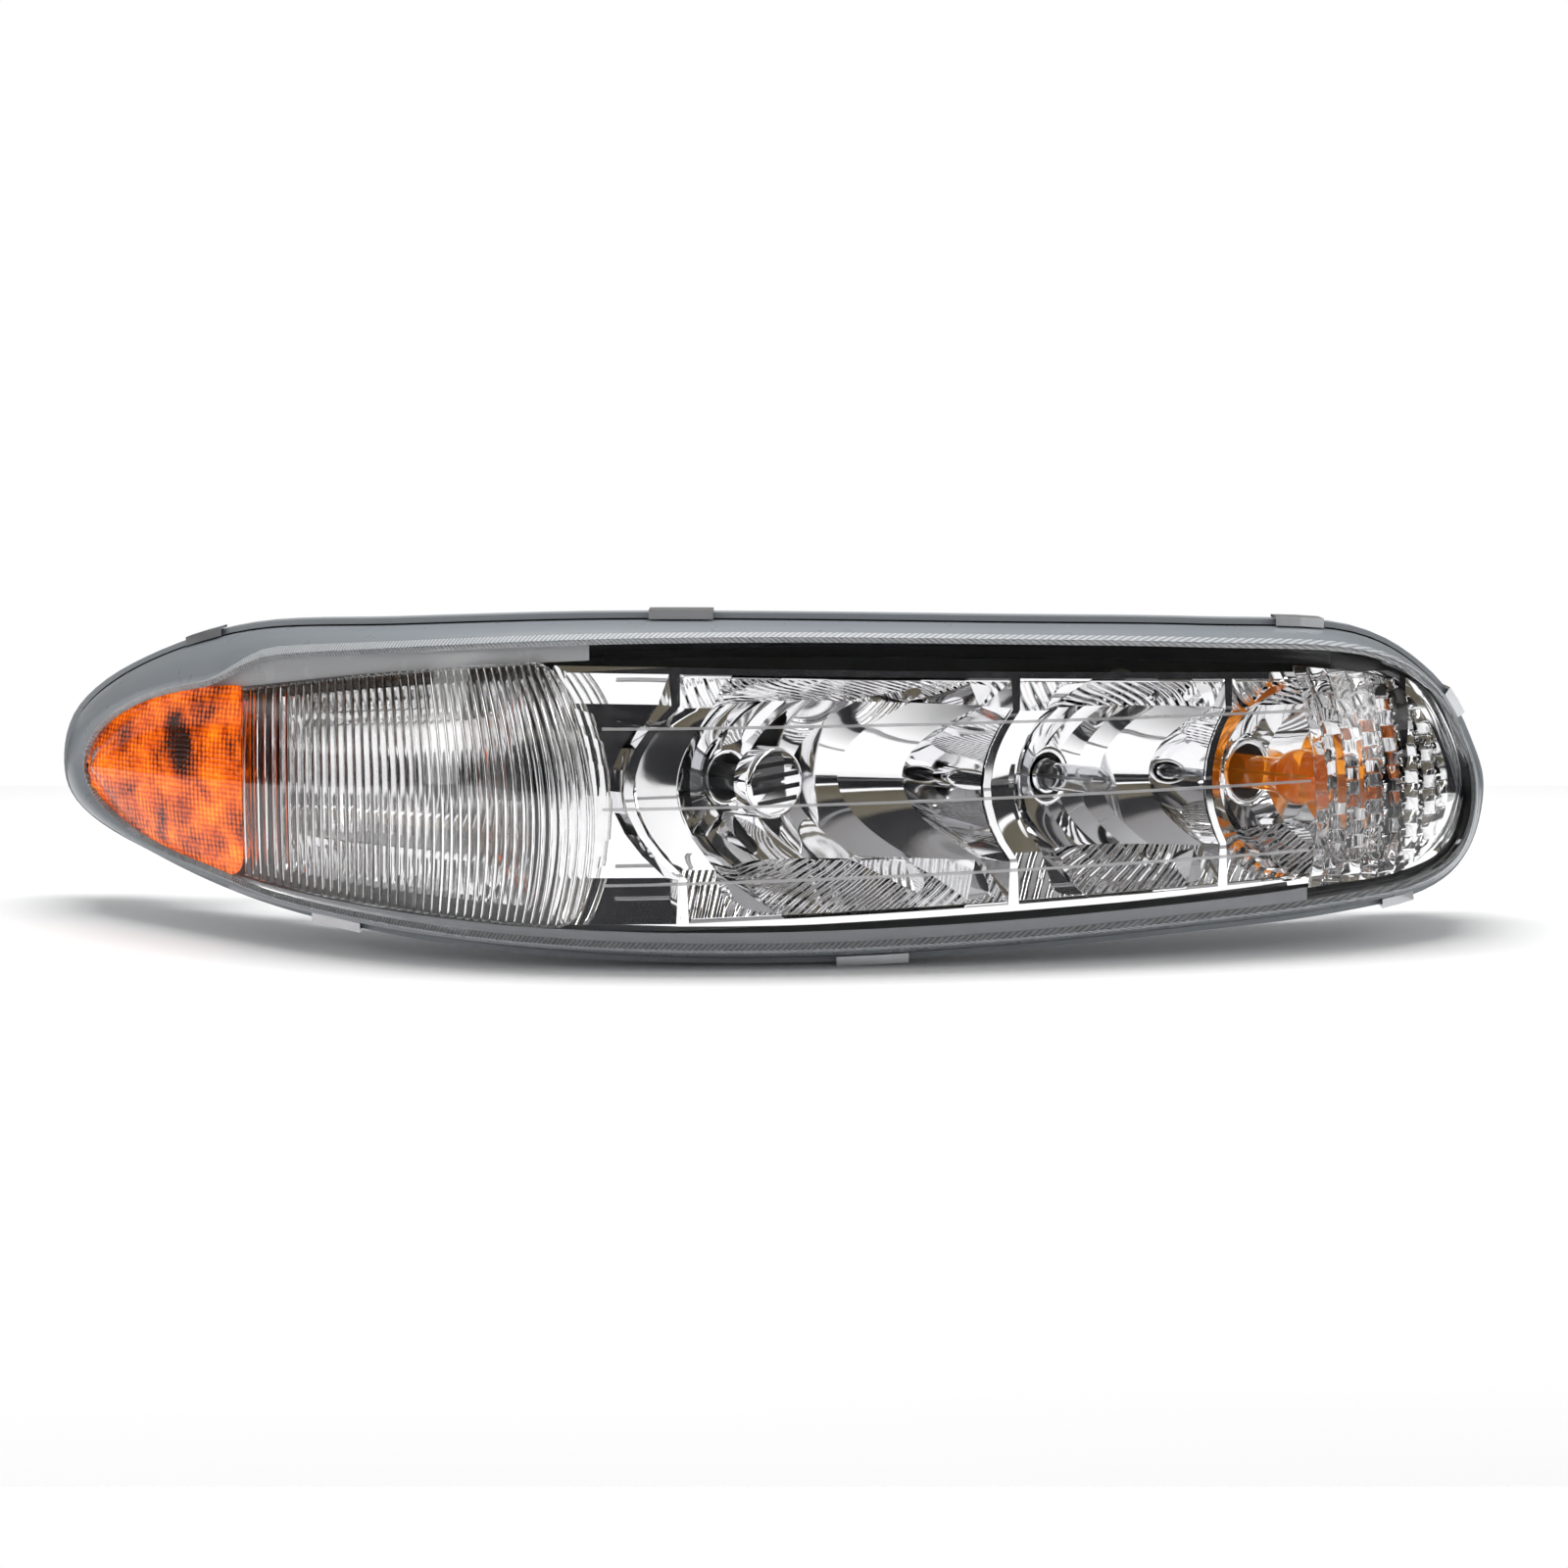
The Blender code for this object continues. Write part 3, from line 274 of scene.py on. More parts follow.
def lens_face(p, z):
    """The q of the lens's outer face at p and z."""
    top, bottom = through(TOP_EDGE, p), through(BOTTOM_EDGE, p)
    t = (2 * z - top - bottom) / (top - bottom)
    return lens_q(p) - LENS_CROWN * t * t


def samples(steps=LOOP_STEPS):
    return [k / steps for k in range(len(FRONT_OUTLINE) * steps)]


def rim(u, d, b):
    """A point of the flange: d inside the flange outline, b behind the lens's plan line."""
    at = on_loop(FLANGE_OUTLINE, u)
    moved = inward(at, d)
    return chord(moved.x, lens_q(at.x) - b, moved.y)


def shoulder(u, turn, d=0.0):
    """A point of the lens's rounded edge: turn 0 at its front face, 90 at the flange."""
    front, flange = on_loop(FRONT_OUTLINE, u), on_loop(FLANGE_OUTLINE, u)
    out, back = math.sin(turn), 1 - math.cos(turn)
    at = front.lerp(flange, out)
    q = (lens_q(front.x) - LENS_CROWN) * (1 - back) + (lens_q(flange.x) - SKIRT_DEPTH) * back
    moved = inward(at, d)
    return chord(moved.x, q - d * (1 - back), moved.y)


def tub(u, d, ahead):
    """A point of the housing's deep rings."""
    at = on_loop(FLANGE_OUTLINE, u)
    moved = inward(at, d)
    return chord(moved.x, back_q(moved.x) + ahead, moved.y)


# ---------------------------------------------------------------- local frames
def spun(v, turn):
    """A point turned about Z."""
    c, s = math.cos(turn), math.sin(turn)
    return Vector((v[0] * c - v[1] * s, v[0] * s + v[1] * c, v[2]))


def forward(turn, at, base=Vector((0, 0, 0))):
    """Maps a shape drawn along its own +Z to the chord frame, +Z going to the front of a
    frame that is turned by turn about Z and stands at base."""
    def place(v):
        return base + spun((v[0] + at[0], -v[2] + at[1], v[1] + at[2]), turn)

    return place


def optics(at):
    return forward(SWEEP, at)


def aim(at):
    return forward(AIM_TURN, at, PIVOT)


def straight(at):
    return forward(0.0, at)


def plain(v):
    return Vector(v)


def optics_plain(v):
    """Maps an optics frame point to the chord frame."""
    return spun(v, SWEEP)


# ---------------------------------------------------------------- mesh builders
def piece(name, shape, mat, body, stands_for=(), place=plain, smooth=35):
    """A piece that rides on a body, from vertices in millimetres and faces."""
    verts, faces = shape
    mesh = bpy.data.meshes.new(name)
    mesh.from_pydata([(place(v) - ORIGIN) * MM for v in verts], [], faces)
    bm = bmesh.new()
    bm.from_mesh(mesh)
    bmesh.ops.recalc_face_normals(bm, faces=bm.faces)
    bm.to_mesh(mesh)
    bm.free()
    obj = bpy.data.objects.new(name, mesh)
    bpy.context.scene.collection.objects.link(obj)
    mesh.shade_smooth()
    mesh.set_sharp_from_angle(angle=math.radians(smooth))
    mesh.materials.append(mat)
    if body:
        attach(obj, body)
    if stands_for:
        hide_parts(*stands_for)
    return obj


def strip(first, second, n):
    return [(first + k, first + (k + 1) % n, second + (k + 1) % n, second + k) for k in range(n)]


def closed_band(loops):
    """Vertices and faces of a band through loops, the last joined to the first."""
    n = len(loops[0])
    verts = [v for loop in loops for v in loop]
    return verts, [f for k in range(len(loops)) for f in strip(k * n, (k + 1) % len(loops) * n, n)]


def rings_with_caps(loops, cap_rows, cap_q):
    """Vertices and faces of loops joined in order, the first and last closed by sheets."""
    n = len(loops[0])
    verts = [v for loop in loops for v in loop]
    faces = []
    for k in range(len(loops) - 1):
        faces += strip(k * n, (k + 1) * n, n)
    for start, q_of in ((0, cap_q[0]), ((len(loops) - 1) * n, cap_q[1])):
        columns = []
        for i in range(1, n // 2):
            top, bottom = verts[start + i], verts[start + n - i]
            column = [start + i]
            for r in range(1, cap_rows):
                at = top.lerp(bottom, r / cap_rows)
                verts.append(chord(at.x, q_of(at.x, 1 - 2 * r / cap_rows), at.z))
                column.append(len(verts) - 1)
            columns.append(column + [start + n - i])
        for a, b in zip(columns, columns[1:]):
            faces += [(a[r], a[r + 1], b[r + 1], b[r]) for r in range(cap_rows)]
        for tip, column in ((start, columns[0]), (start + n // 2, columns[-1])):
            faces += [(tip, column[r], column[r + 1]) for r in range(cap_rows)]
    return verts, faces


def sheet_solid(front, back):
    """Vertices and faces of the solid between two equal grids of points."""
    rows, cols = len(front), len(front[0])
    verts = [v for row in front for v in row] + [v for row in back for v in row]
    other = rows * cols
    faces = []
    for r in range(rows - 1):
        for c in range(cols - 1):
            a = r * cols + c
            faces.append((a, a + 1, a + cols + 1, a + cols))
            faces.append((other + a, other + a + cols, other + a + cols + 1, other + a + 1))
    edge = list(range(cols)) + [r * cols + cols - 1 for r in range(1, rows)]
    edge += [(rows - 1) * cols + c for c in range(cols - 2, -1, -1)]
    edge += [r * cols for r in range(rows - 2, 0, -1)]
    n = len(edge)
    for k in range(n):
        a, b = edge[k], edge[(k + 1) % n]
        faces.append((a, other + a, other + b, b))
    return verts, faces


def turned(profile, steps=48, closed=False):
    """Vertices and faces of a profile of (radius, height) turned about Z."""
    verts, faces, rows = [], [], []
    for r, z in profile:
        if r < 1e-6:
            rows.append([len(verts)] * steps)
            verts.append((0, 0, z))
            continue
        rows.append(list(range(len(verts), len(verts) + steps)))
        for k in range(steps):
            a = 2 * math.pi * k / steps
            verts.append((r * math.cos(a), r * math.sin(a), z))
    pairs = list(zip(rows, rows[1:])) + ([(rows[-1], rows[0])] if closed else [])
    for low, high in pairs:
        for k in range(steps):
            j = (k + 1) % steps
            face = [low[k], low[j], high[j], high[k]]
            corners = tuple(v for i, v in enumerate(face) if v not in face[:i])
            if len(corners) > 2:
                faces.append(corners)
    return verts, faces


def rounded(profile, radius, steps=4):
    """An open (radius, height) profile with its inner corners rounded."""
    points = [Vector(at) for at in profile]
    out = [points[0]]
    for a, b, c in zip(points, points[1:], points[2:]):
        r = min(radius, (b - a).length * 0.45, (c - b).length * 0.45)
        start, end = b + (a - b).normalized() * r, b + (c - b).normalized() * r
        for k in range(steps + 1):
            s = k / steps
            out.append(start * (1 - s) ** 2 + 2 * b * s * (1 - s) + end * s * s)
    return [tuple(at) for at in out + [points[-1]]]


def box(low, high, bevel=0.0):
    """Vertices and faces of a block with rounded edges."""
    bm = bmesh.new()
    bmesh.ops.create_cube(bm, size=1.0)
    for v in bm.verts:
        v.co = Vector([low[i] + (high[i] - low[i]) * (v.co[i] + 0.5) for i in range(3)])
    if bevel:
        bmesh.ops.bevel(bm, geom=list(bm.edges), offset=bevel, segments=3, affect="EDGES", profile=0.5)
    bm.verts.index_update()
    shape = [tuple(v.co) for v in bm.verts], [tuple(v.index for v in f.verts) for f in bm.faces]
    bm.free()
    return shape


def tube_along(points, radius, sides=10):
    """Vertices and faces of a round wire through the points, with flat ends."""
    points = [Vector(v) for v in points]
    verts, faces = [], []
    side = Vector((0, 0, 1))
    for k, at in enumerate(points):
        ahead = (points[min(k + 1, len(points) - 1)] - points[max(k - 1, 0)]).normalized()
        along = side.dot(ahead)
        side = (side - ahead * along).normalized() if abs(along) < 0.99 else ahead.orthogonal()
        other = ahead.cross(side)
        for j in range(sides):
            a = 2 * math.pi * j / sides
            verts.append(at + (side * math.cos(a) + other * math.sin(a)) * radius)
    for k in range(len(points) - 1):
        faces += strip(k * sides, (k + 1) * sides, sides)
    last = (len(points) - 1) * sides
    faces += [tuple(range(sides)), tuple(range(last, last + sides))]
    return verts, faces


def combine(target, operation, shapes, smooth=35):
    """Joins the (shape, place) pairs to target, or cuts them away, and applies that."""
    tools = bpy.data.collections.new(target.name + "_tools")
    bpy.context.scene.collection.children.link(tools)
    for shape, place in shapes:
        tool = piece("tool", shape, target.data.materials[0], None, (), place)
        bpy.context.scene.collection.objects.unlink(tool)
        tools.objects.link(tool)
    modifier = target.modifiers.new("combine", "BOOLEAN")
    modifier.operation = operation
    modifier.operand_type = "COLLECTION"
    modifier.collection = tools
    modifier.solver = "EXACT"
    graph = bpy.context.evaluated_depsgraph_get()
    mesh = bpy.data.meshes.new_from_object(target.evaluated_get(graph))
    target.modifiers.remove(modifier)
    target.data = mesh
    mesh.shade_smooth()
    mesh.set_sharp_from_angle(angle=math.radians(smooth))
    for tool in list(tools.objects):
        bpy.data.objects.remove(tool)
    bpy.data.collections.remove(tools)


def rod(radius, low, high, steps=40):
    return turned(((0, low), (radius, low), (radius, high), (0, high)), steps)


# ---------------------------------------------------------------- materials
def shader(name, colour, rough, metallic=0.0, **sockets):
    mat = bpy.data.materials.new(name)
    mat.use_nodes = True
    node = mat.node_tree.nodes["Principled BSDF"]
    node.inputs["Base Color"].default_value = (*colour, 1.0)
    node.inputs["Roughness"].default_value = rough
    node.inputs["Metallic"].default_value = metallic
    for key, value in sockets.items():
        node.inputs[key.replace("_", " ")].default_value = value
    return mat, node


def wired(tree, kind, inputs, **settings):
    """A new node with these settings. An input that is another node's output is linked."""
    node = tree.nodes.new("ShaderNode" + kind)
    for key, value in settings.items():
        setattr(node, key, value)
    for key, value in inputs.items():
        if isinstance(value, bpy.types.NodeSocket):
            tree.links.new(value, node.inputs[key])
        else:
            node.inputs[key].default_value = value
    return node


def object_place(mat):
    return mat.node_tree.nodes.new("ShaderNodeTexCoord").outputs["Object"]


def noise(mat, scale, detail=3.0):
    """A noise texture in the model's own metres."""
    inputs = {"Vector": object_place(mat), "Scale": scale, "Detail": detail}
    return wired(mat.node_tree, "TexNoise", inputs).outputs["Fac"]


def colour_ramp(tree, source, stops):
    """The colour at source's value on a ramp through (place, colour) stops."""
    ramp = wired(tree, "ValToRGB", {"Fac": source})
    elements = ramp.color_ramp.elements
    for k, (place, colour) in enumerate(stops):
        stop = elements[k] if k < 2 else elements.new(place)
        stop.position = place
        stop.color = (*colour, 1.0)
    return ramp.outputs["Color"]


def vary(mat, node, socket, source, low, high, span=(0.3, 0.7)):
    """Drives a socket from source, mapped over span to low..high, numbers or colours."""
    ends = [end if hasattr(end, "__len__") else (end, end, end) for end in (low, high)]
    colour = colour_ramp(mat.node_tree, source, zip(span, ends))
    mat.node_tree.links.new(colour, node.inputs[socket])


def bump(mat, node, source, distance, strength=1.0):
    inputs = {"Height": source, "Distance": distance, "Strength": strength}
    made = wired(mat.node_tree, "Bump", inputs)
    mat.node_tree.links.new(made.outputs["Normal"], node.inputs["Normal"])


def chrome():
    mat, node = shader("bright_chrome", (0.92, 0.92, 0.93), 0.035, 1.0)
    vary(mat, node, "Roughness", noise(mat, 60.0), 0.02, 0.06)
    bump(mat, node, noise(mat, 18.0, 1.0), 0.0003, 0.06)
    return mat


def clear_plastic(name, colour=WHITE, rough=0.0, clear=1.0, ior=1.49, **sockets):
    mat, node = shader(name, colour, rough, IOR=ior, Transmission_Weight=clear, **sockets)
    vary(mat, node, "Roughness", noise(mat, 40.0), rough, rough + 0.015)
    return mat


def oval(mat, centre, halves):
    """0 at centre, growing to 1 on an oval round it, across X and Z."""
    tree = mat.node_tree
    inputs = {0: object_place(mat), 1: (centre - ORIGIN) * MM}
    moved = wired(tree, "VectorMath", inputs, operation="SUBTRACT")
    inputs = {0: moved.outputs["Vector"], 1: (1 / (halves[0] * MM), 0.0, 1 / (halves[1] * MM))}
    scaled = wired(tree, "VectorMath", inputs, operation="MULTIPLY")
    size = wired(tree, "VectorMath", {0: scaled.outputs["Vector"]}, operation="LENGTH")
    return size.outputs["Value"]


def honeycomb_amber():
    """Amber plastic with a bump of small corner prisms in a honeycomb. The light they send back is
    painted in, as brighter patches and a glow, with the painted shade of the bulb's hole in its middle."""
    # The emission is a painted glow: the amber piece is no lamp.
    mat, node = shader(
        "amber_lens_plastic", (1.0, 0.2, 0.0), 0.05, IOR=1.49, Transmission_Weight=0.3,
        Emission_Strength=0.42, Specular_IOR_Level=0.12,
    )
    tree = mat.node_tree
    inputs = {"Vector": object_place(mat), "Scale": 430.0, "Randomness": 0.2}
    cells = wired(tree, "TexVoronoi", inputs).outputs["Distance"]
    # Painted glints: brighter patches from the prism cells and noise.
    inputs = {0: cells, 1: -0.55, 2: noise(mat, 60.0, 5.0)}
    painted_glints = wired(tree, "Math", inputs, operation="MULTIPLY_ADD").outputs["Value"]
    # Painted shade: darker in an oval round the bulb's hole, seen through the amber.
    hole_shade = wired(tree, "MapRange", {
        "Value": oval(mat, AMBER_HOLE_SHADE, AMBER_HOLE_SHADE_HALF),
        "From Min": 0.55, "From Max": 1.2, "To Min": -0.3, "To Max": 0.0,
    }).outputs["Result"]
    painted_light = wired(tree, "Math", {0: painted_glints, 1: hole_shade}, operation="ADD").outputs["Value"]
    for socket, colours in (("Base Color", AMBER_PAINTED_BASE), ("Emission Color", AMBER_PAINTED_GLOW)):
        colour = colour_ramp(tree, painted_light, zip(AMBER_LIGHT_STOPS, colours))
        tree.links.new(colour, node.inputs[socket])
    bump(mat, node, cells, 0.0006)
    return mat


def moulded(name, colour, rough=0.5, grain=900.0, depth=0.00008, **sockets):
    mat, node = shader(name, colour, rough, **sockets)
    lighter = tuple(min(c * 1.08 + 0.003, 1.0) for c in colour)
    vary(mat, node, "Base Color", noise(mat, 25.0, 4.0), colour, lighter, (0.1, 0.9))
    vary(mat, node, "Roughness", noise(mat, 70.0, 4.0), rough - 0.04, rough + 0.06, (0.1, 0.9))
    bump(mat, node, noise(mat, grain, 2.0), depth, 0.5)
    return mat


def metal(name, colour, rough):
    mat, node = shader(name, colour, rough, 1.0)
    darker = tuple(c * 0.9 for c in colour)
    vary(mat, node, "Base Color", noise(mat, 120.0, 4.0), colour, darker, (0.1, 0.9))
    vary(mat, node, "Roughness", noise(mat, 200.0, 4.0), rough * 0.85, rough * 1.2, (0.1, 0.9))
    bump(mat, node, noise(mat, 1500.0, 2.0), 0.00002, 0.15)
    return mat


def waves(mat, pitch, turn):
    """A texture of straight waves, pitch metres apart, turned about Z."""
    inputs = {"Vector": object_place(mat), "Rotation": (0.0, 0.0, math.radians(turn))}
    mapping = wired(mat.node_tree, "Mapping", inputs)
    return wired(mat.node_tree, "TexWave", {
        "Vector": mapping.outputs["Vector"], "Scale": 2 * math.pi / (20.0 * pitch),
        "Distortion": 0.6, "Detail": 1.0,
    }).outputs["Fac"]


def ridged_chrome():
    mat, node = shader("ridged_chrome", (0.92, 0.92, 0.93), 0.05, 1.0)
    vary(mat, node, "Roughness", noise(mat, 60.0), 0.03, 0.08)
    bump(mat, node, waves(mat, 0.0042, 35.0), 0.0011)
    return mat


def hatched():
    mat, node = shader("hatched_edge", (0.42, 0.44, 0.46), 0.25)
    vary(mat, node, "Base Color", waves(mat, 0.0016, 50.0), (0.34, 0.36, 0.38), (0.56, 0.58, 0.60))
    vary(mat, node, "Roughness", noise(mat, 80.0), 0.2, 0.34)
    bump(mat, node, waves(mat, 0.0016, 50.0), 0.0003)
    return mat


CHROME = chrome()
RIDGED = ridged_chrome()
HATCHED = hatched()
CLEAR = clear_plastic("clear_lens_plastic")
COVER = clear_plastic("clear_cover_plastic", ior=1.18)
AMBER = honeycomb_amber()
BULB_GLASS = clear_plastic("bulb_glass", (0.86, 0.87, 0.89), 0.0, 0.94)
# The emission is a painted glow: the turn bulb is not lit.
AMBER_GLASS = clear_plastic(
    "amber_bulb_glass", (1.0, 0.62, 0.16), 0.0, 0.93,
    Emission_Color=(1.0, 0.26, 0.01, 1.0), Emission_Strength=0.05,
)
GLARE = moulded(
    "black_gloss_strip", (0.006, 0.006, 0.008), 0.3, 200.0, 0.00002, Specular_IOR_Level=0.15,
)
LOWER = moulded("lower_shelf", (0.30, 0.31, 0.33), 0.3, 200.0, 0.00003)
SHELF = moulded("pale_shelf", (0.62, 0.63, 0.65), 0.25, 200.0, 0.00003)
RIB = clear_plastic("lens_rib_plastic", (0.93, 0.93, 0.94), 0.08, 0.55)
GREY = moulded("grey_housing_plastic", (0.26, 0.28, 0.30), 0.48)
BLACK = moulded("black_moulded_plastic", (0.022, 0.022, 0.024), 0.45)
RUBBER = moulded("black_rubber", (0.018, 0.018, 0.018), 0.7, 500.0, 0.00012)
RING = moulded("red_ring_rubber", (0.22, 0.045, 0.03), 0.6, 500.0, 0.0001)
NYLON = moulded("natural_nylon", (0.70, 0.68, 0.60), 0.42)
SATIN = moulded("satin_skirt", (0.22, 0.24, 0.26), 0.28, 300.0, 0.00003)
SEALANT = moulded("sealant", (0.03, 0.03, 0.032), 0.65, 150.0, 0.0006)
ZINC = metal("zinc_plated_steel", (0.66, 0.65, 0.60), 0.3)
SPRING = metal("clip_steel", (0.62, 0.63, 0.65), 0.3)
BRASS = metal("contact_brass", (0.80, 0.63, 0.34), 0.28)
TUNGSTEN = metal("support_wire", (0.55, 0.55, 0.56), 0.3)


# ---------------------------------------------------------------- lens
def edge_turn(turns, u):
    """A line along the rounded edge, in degrees: the first of turns round the amber end,
    and the second elsewhere."""
    start, end = TURN_CHANGE
    share = min(max((on_loop(FRONT_OUTLINE, u).x - start) / (end - start), 0.0), 1.0)
    share = share * share * (3 - 2 * share)
    return turns[0] + (turns[1] - turns[0]) * share


def face_end(u):
    return edge_turn(FACE_TURNS, u)


def band_end(u):
    return edge_turn(BAND_TURNS, u)


def edge_loops(low, high, shares, d=0.0):
    """Loops of the lens's rounded edge at shares of the way from one line to another."""
    return [
        [shoulder(u, math.radians(low(u) + (high(u) - low(u)) * k), d) for u in samples()]
        for k in shares
    ]


def edge_wall(low, high, shares, leg=()):
    """The loops of a closed section: back along the outer face, round the leg, and forward
    along the inner face."""
    inner = edge_loops(low, high, reversed(shares), LENS_WALL)
    return edge_loops(low, high, shares) + list(leg) + inner


def make_lens():
    """The clear face, the hatched band round it, and the satin skirt behind that."""
    caps = (
        lambda p, t: lens_q(p) - LENS_CROWN * t * t,
        lambda p, t: lens_q(p) - LENS_CROWN * t * t - LENS_WALL,
    )
    loops = edge_wall(lambda u: 0.0, face_end, (0, 0.25, 0.5, 0.75, 1))
    shape = rings_with_caps(loops, CAP_ROWS, caps)
    piece("lens_cover", shape, COVER, "housing", ["lens"], smooth=60)
    start, end = (lambda u: face_end(u) + BAND_GAPS[0]), (lambda u: band_end(u) - BAND_GAPS[1])
    loops = edge_wall(start, end, (0, 0.5, 1))
    piece("hatched_band", closed_band(loops), HATCHED, "housing", ["lens"], smooth=60)
    leg = [[rim(u, d, LEG_DEPTH) for u in samples()] for d in (0, LENS_WALL)]
    loops = edge_wall(band_end, lambda u: 90.0, (0, 0.15, 0.3, 0.45, 0.6, 0.75, 0.9, 1), leg)
    piece("lens_skirt", closed_band(loops), SATIN, "housing", ["lens"], smooth=60)


def plate_behind_lens(
    name, mat, p_range, grid, edges, ahead, thick, relief=None, lean=None, stands_for=(),
):
    """A plate behind the lens's inner face, of grid columns and rows. edges(p) gives its
    bottom and top, relief(p, z) how far its back stands out, and lean(p, z) how far its
    columns bow outwards."""
    cols, rows = grid
    front, back = [], []
    for r in range(rows + 1):
        front_row, back_row = [], []
        for c in range(cols + 1):
            p = p_range[0] + (p_range[1] - p_range[0]) * c / cols
            low, high = edges(p)
            z = low + (high - low) * r / rows
            at = p - (lean(p, z) if lean else 0.0)
            q = lens_face(at, z) - ahead
            deep = thick + (relief(p, z) if relief else 0.0)
            front_row.append(chord(at, q, z))
            back_row.append(chord(at, q - deep, z))
        front.append(front_row)
        back.append(back_row)
    return piece(name, sheet_solid(front, back), mat, "housing", stands_for, smooth=50)


def window_edges(p_range, corner):
    """The edges of a window with rounded corners at its second end."""
    def edges(p):
        low = through(BOTTOM_EDGE, p) + WINDOW_MARGIN
        high = through(TOP_EDGE, p) - WINDOW_MARGIN
        over = max(p - (p_range[1] - corner), 0.0)
        drop = corner - math.sqrt(max(corner**2 - over**2, 0.0))
        return low + drop, high - drop

    return edges


def flute_lean(p, z):
    share = (p - FLUTE_WINDOW[0]) / (FLUTE_WINDOW[1] - FLUTE_WINDOW[0])
    return 13.0 * share * share * ((z + 18.0) / 60.0) ** 2


def make_flutes():
    """The upright flutes of the outer window, bowed towards its inner side."""
    def relief(p, z):
        phase = (p / FLUTE_PITCH) % 1.0
        return 1.7 * math.sqrt(max(1 - (2 * phase - 1) ** 2, 0.0))

    p0, p1 = FLUTE_WINDOW
    grid = (int((p1 - p0) / FLUTE_PITCH * 10), 30)
    edges = window_edges(FLUTE_WINDOW, 12.0)
    plate_behind_lens(
        "corner_flutes", CLEAR, FLUTE_WINDOW, grid, edges, PLATE_AHEAD, PLATE_WALL, relief, flute_lean,
    )
    make_border("corner_window_border", FLUTE_WINDOW, edges, flute_lean)


def make_border(name, p_range, edges, lean):
    """A fine clear bead along a window's top, inner end and bottom."""
    p0, p1 = p_range
    ps = [p0 + (p1 - p0) * math.sin(math.pi / 2 * k / 60) for k in range(61)]
    top = [(p, edges(p)[1]) for p in ps]
    bottom = [(p, edges(p)[0]) for p in reversed(ps)]
    side = [(p1, top[-1][1] + (bottom[0][1] - top[-1][1]) * k / 20) for k in range(1, 20)]
    points = []
    for p, z in top + side + bottom:
        at = p - lean(p, z)
        points.append(chord(at, lens_face(at, z) - PLATE_AHEAD - 1.0, z))
    piece(name, tube_along(points, 0.7, 8), CLEAR, "housing")


def prism_lean(p, z):
    return 9.0 * ((z + 22.0) / 60.0) ** 2


def make_prisms():
    """The blocks of the inner window, in bowed columns, tilted up and down by turns."""
    def relief(p, z):
        column, across = divmod(p / PRISM_PITCH[0], 1.0)
        row, up = divmod(z / PRISM_PITCH[1] + 0.5 * (column % 2), 1.0)
        across = 2 * across - 1
        tilt = up if (row + column) % 2 else 1 - up
        return 1.3 * (1 - across * across) + 2.2 * tilt

    p0, p1 = PRISM_WINDOW
    grid = (int((p1 - p0) / PRISM_PITCH[0] * 14), 170)
    edges = window_edges(PRISM_WINDOW, 28.0)
    plate_behind_lens(
        "end_prisms", CLEAR, PRISM_WINDOW, grid, edges, PLATE_AHEAD, PLATE_WALL, relief, prism_lean,
    )


def make_ribs():
    """Three thin upstanding lines across the main window."""
    for k, ends in enumerate(RIBS):
        def edges(p, ends=ends):
            middle = between(p, *ends, *RIB_SPAN)
            return middle - RIB_HALF, middle + RIB_HALF

        plate_behind_lens("lens_rib_%d" % (k + 1), RIB, RIB_SPAN, (80, 1), edges, 3.3, 1.6)


def make_strips():
    """The black strip over the bowls, the shelves along the windows, and the bright end."""
    def glare_edges(p):
        top = through(TOP_EDGE, p)
        return top - 2.5, top + between(p, 1.0, 5.0, *GLARE_SPAN)

    def shelf_edges(p):
        top = through(TOP_EDGE, p)
        return top - 2.0, top + 8.0

    def lower_edges(p):
        bottom = through(BOTTOM_EDGE, p)
        return bottom - 7.5, bottom + between(p, 1.0, 3.0, *LOWER_SPAN)

    def end_edges(p):
        return through(BOTTOM_EDGE, p) + 3.0, through(TOP_EDGE, p) - 3.0

    plate_behind_lens("glare_strip", GLARE, GLARE_SPAN, (60, 6), glare_edges, 7.0, 1.0)
    plate_behind_lens("window_shelf", SHELF, SHELF_SPAN, (60, 6), shelf_edges, 7.5, 1.0)
    plate_behind_lens("lower_shelf", LOWER, LOWER_SPAN, (90, 6), lower_edges, 5.5, 1.0)
    plate_behind_lens("end_liner", CHROME, END_SPAN, (24, 30), end_edges, 8.4, 0.8)


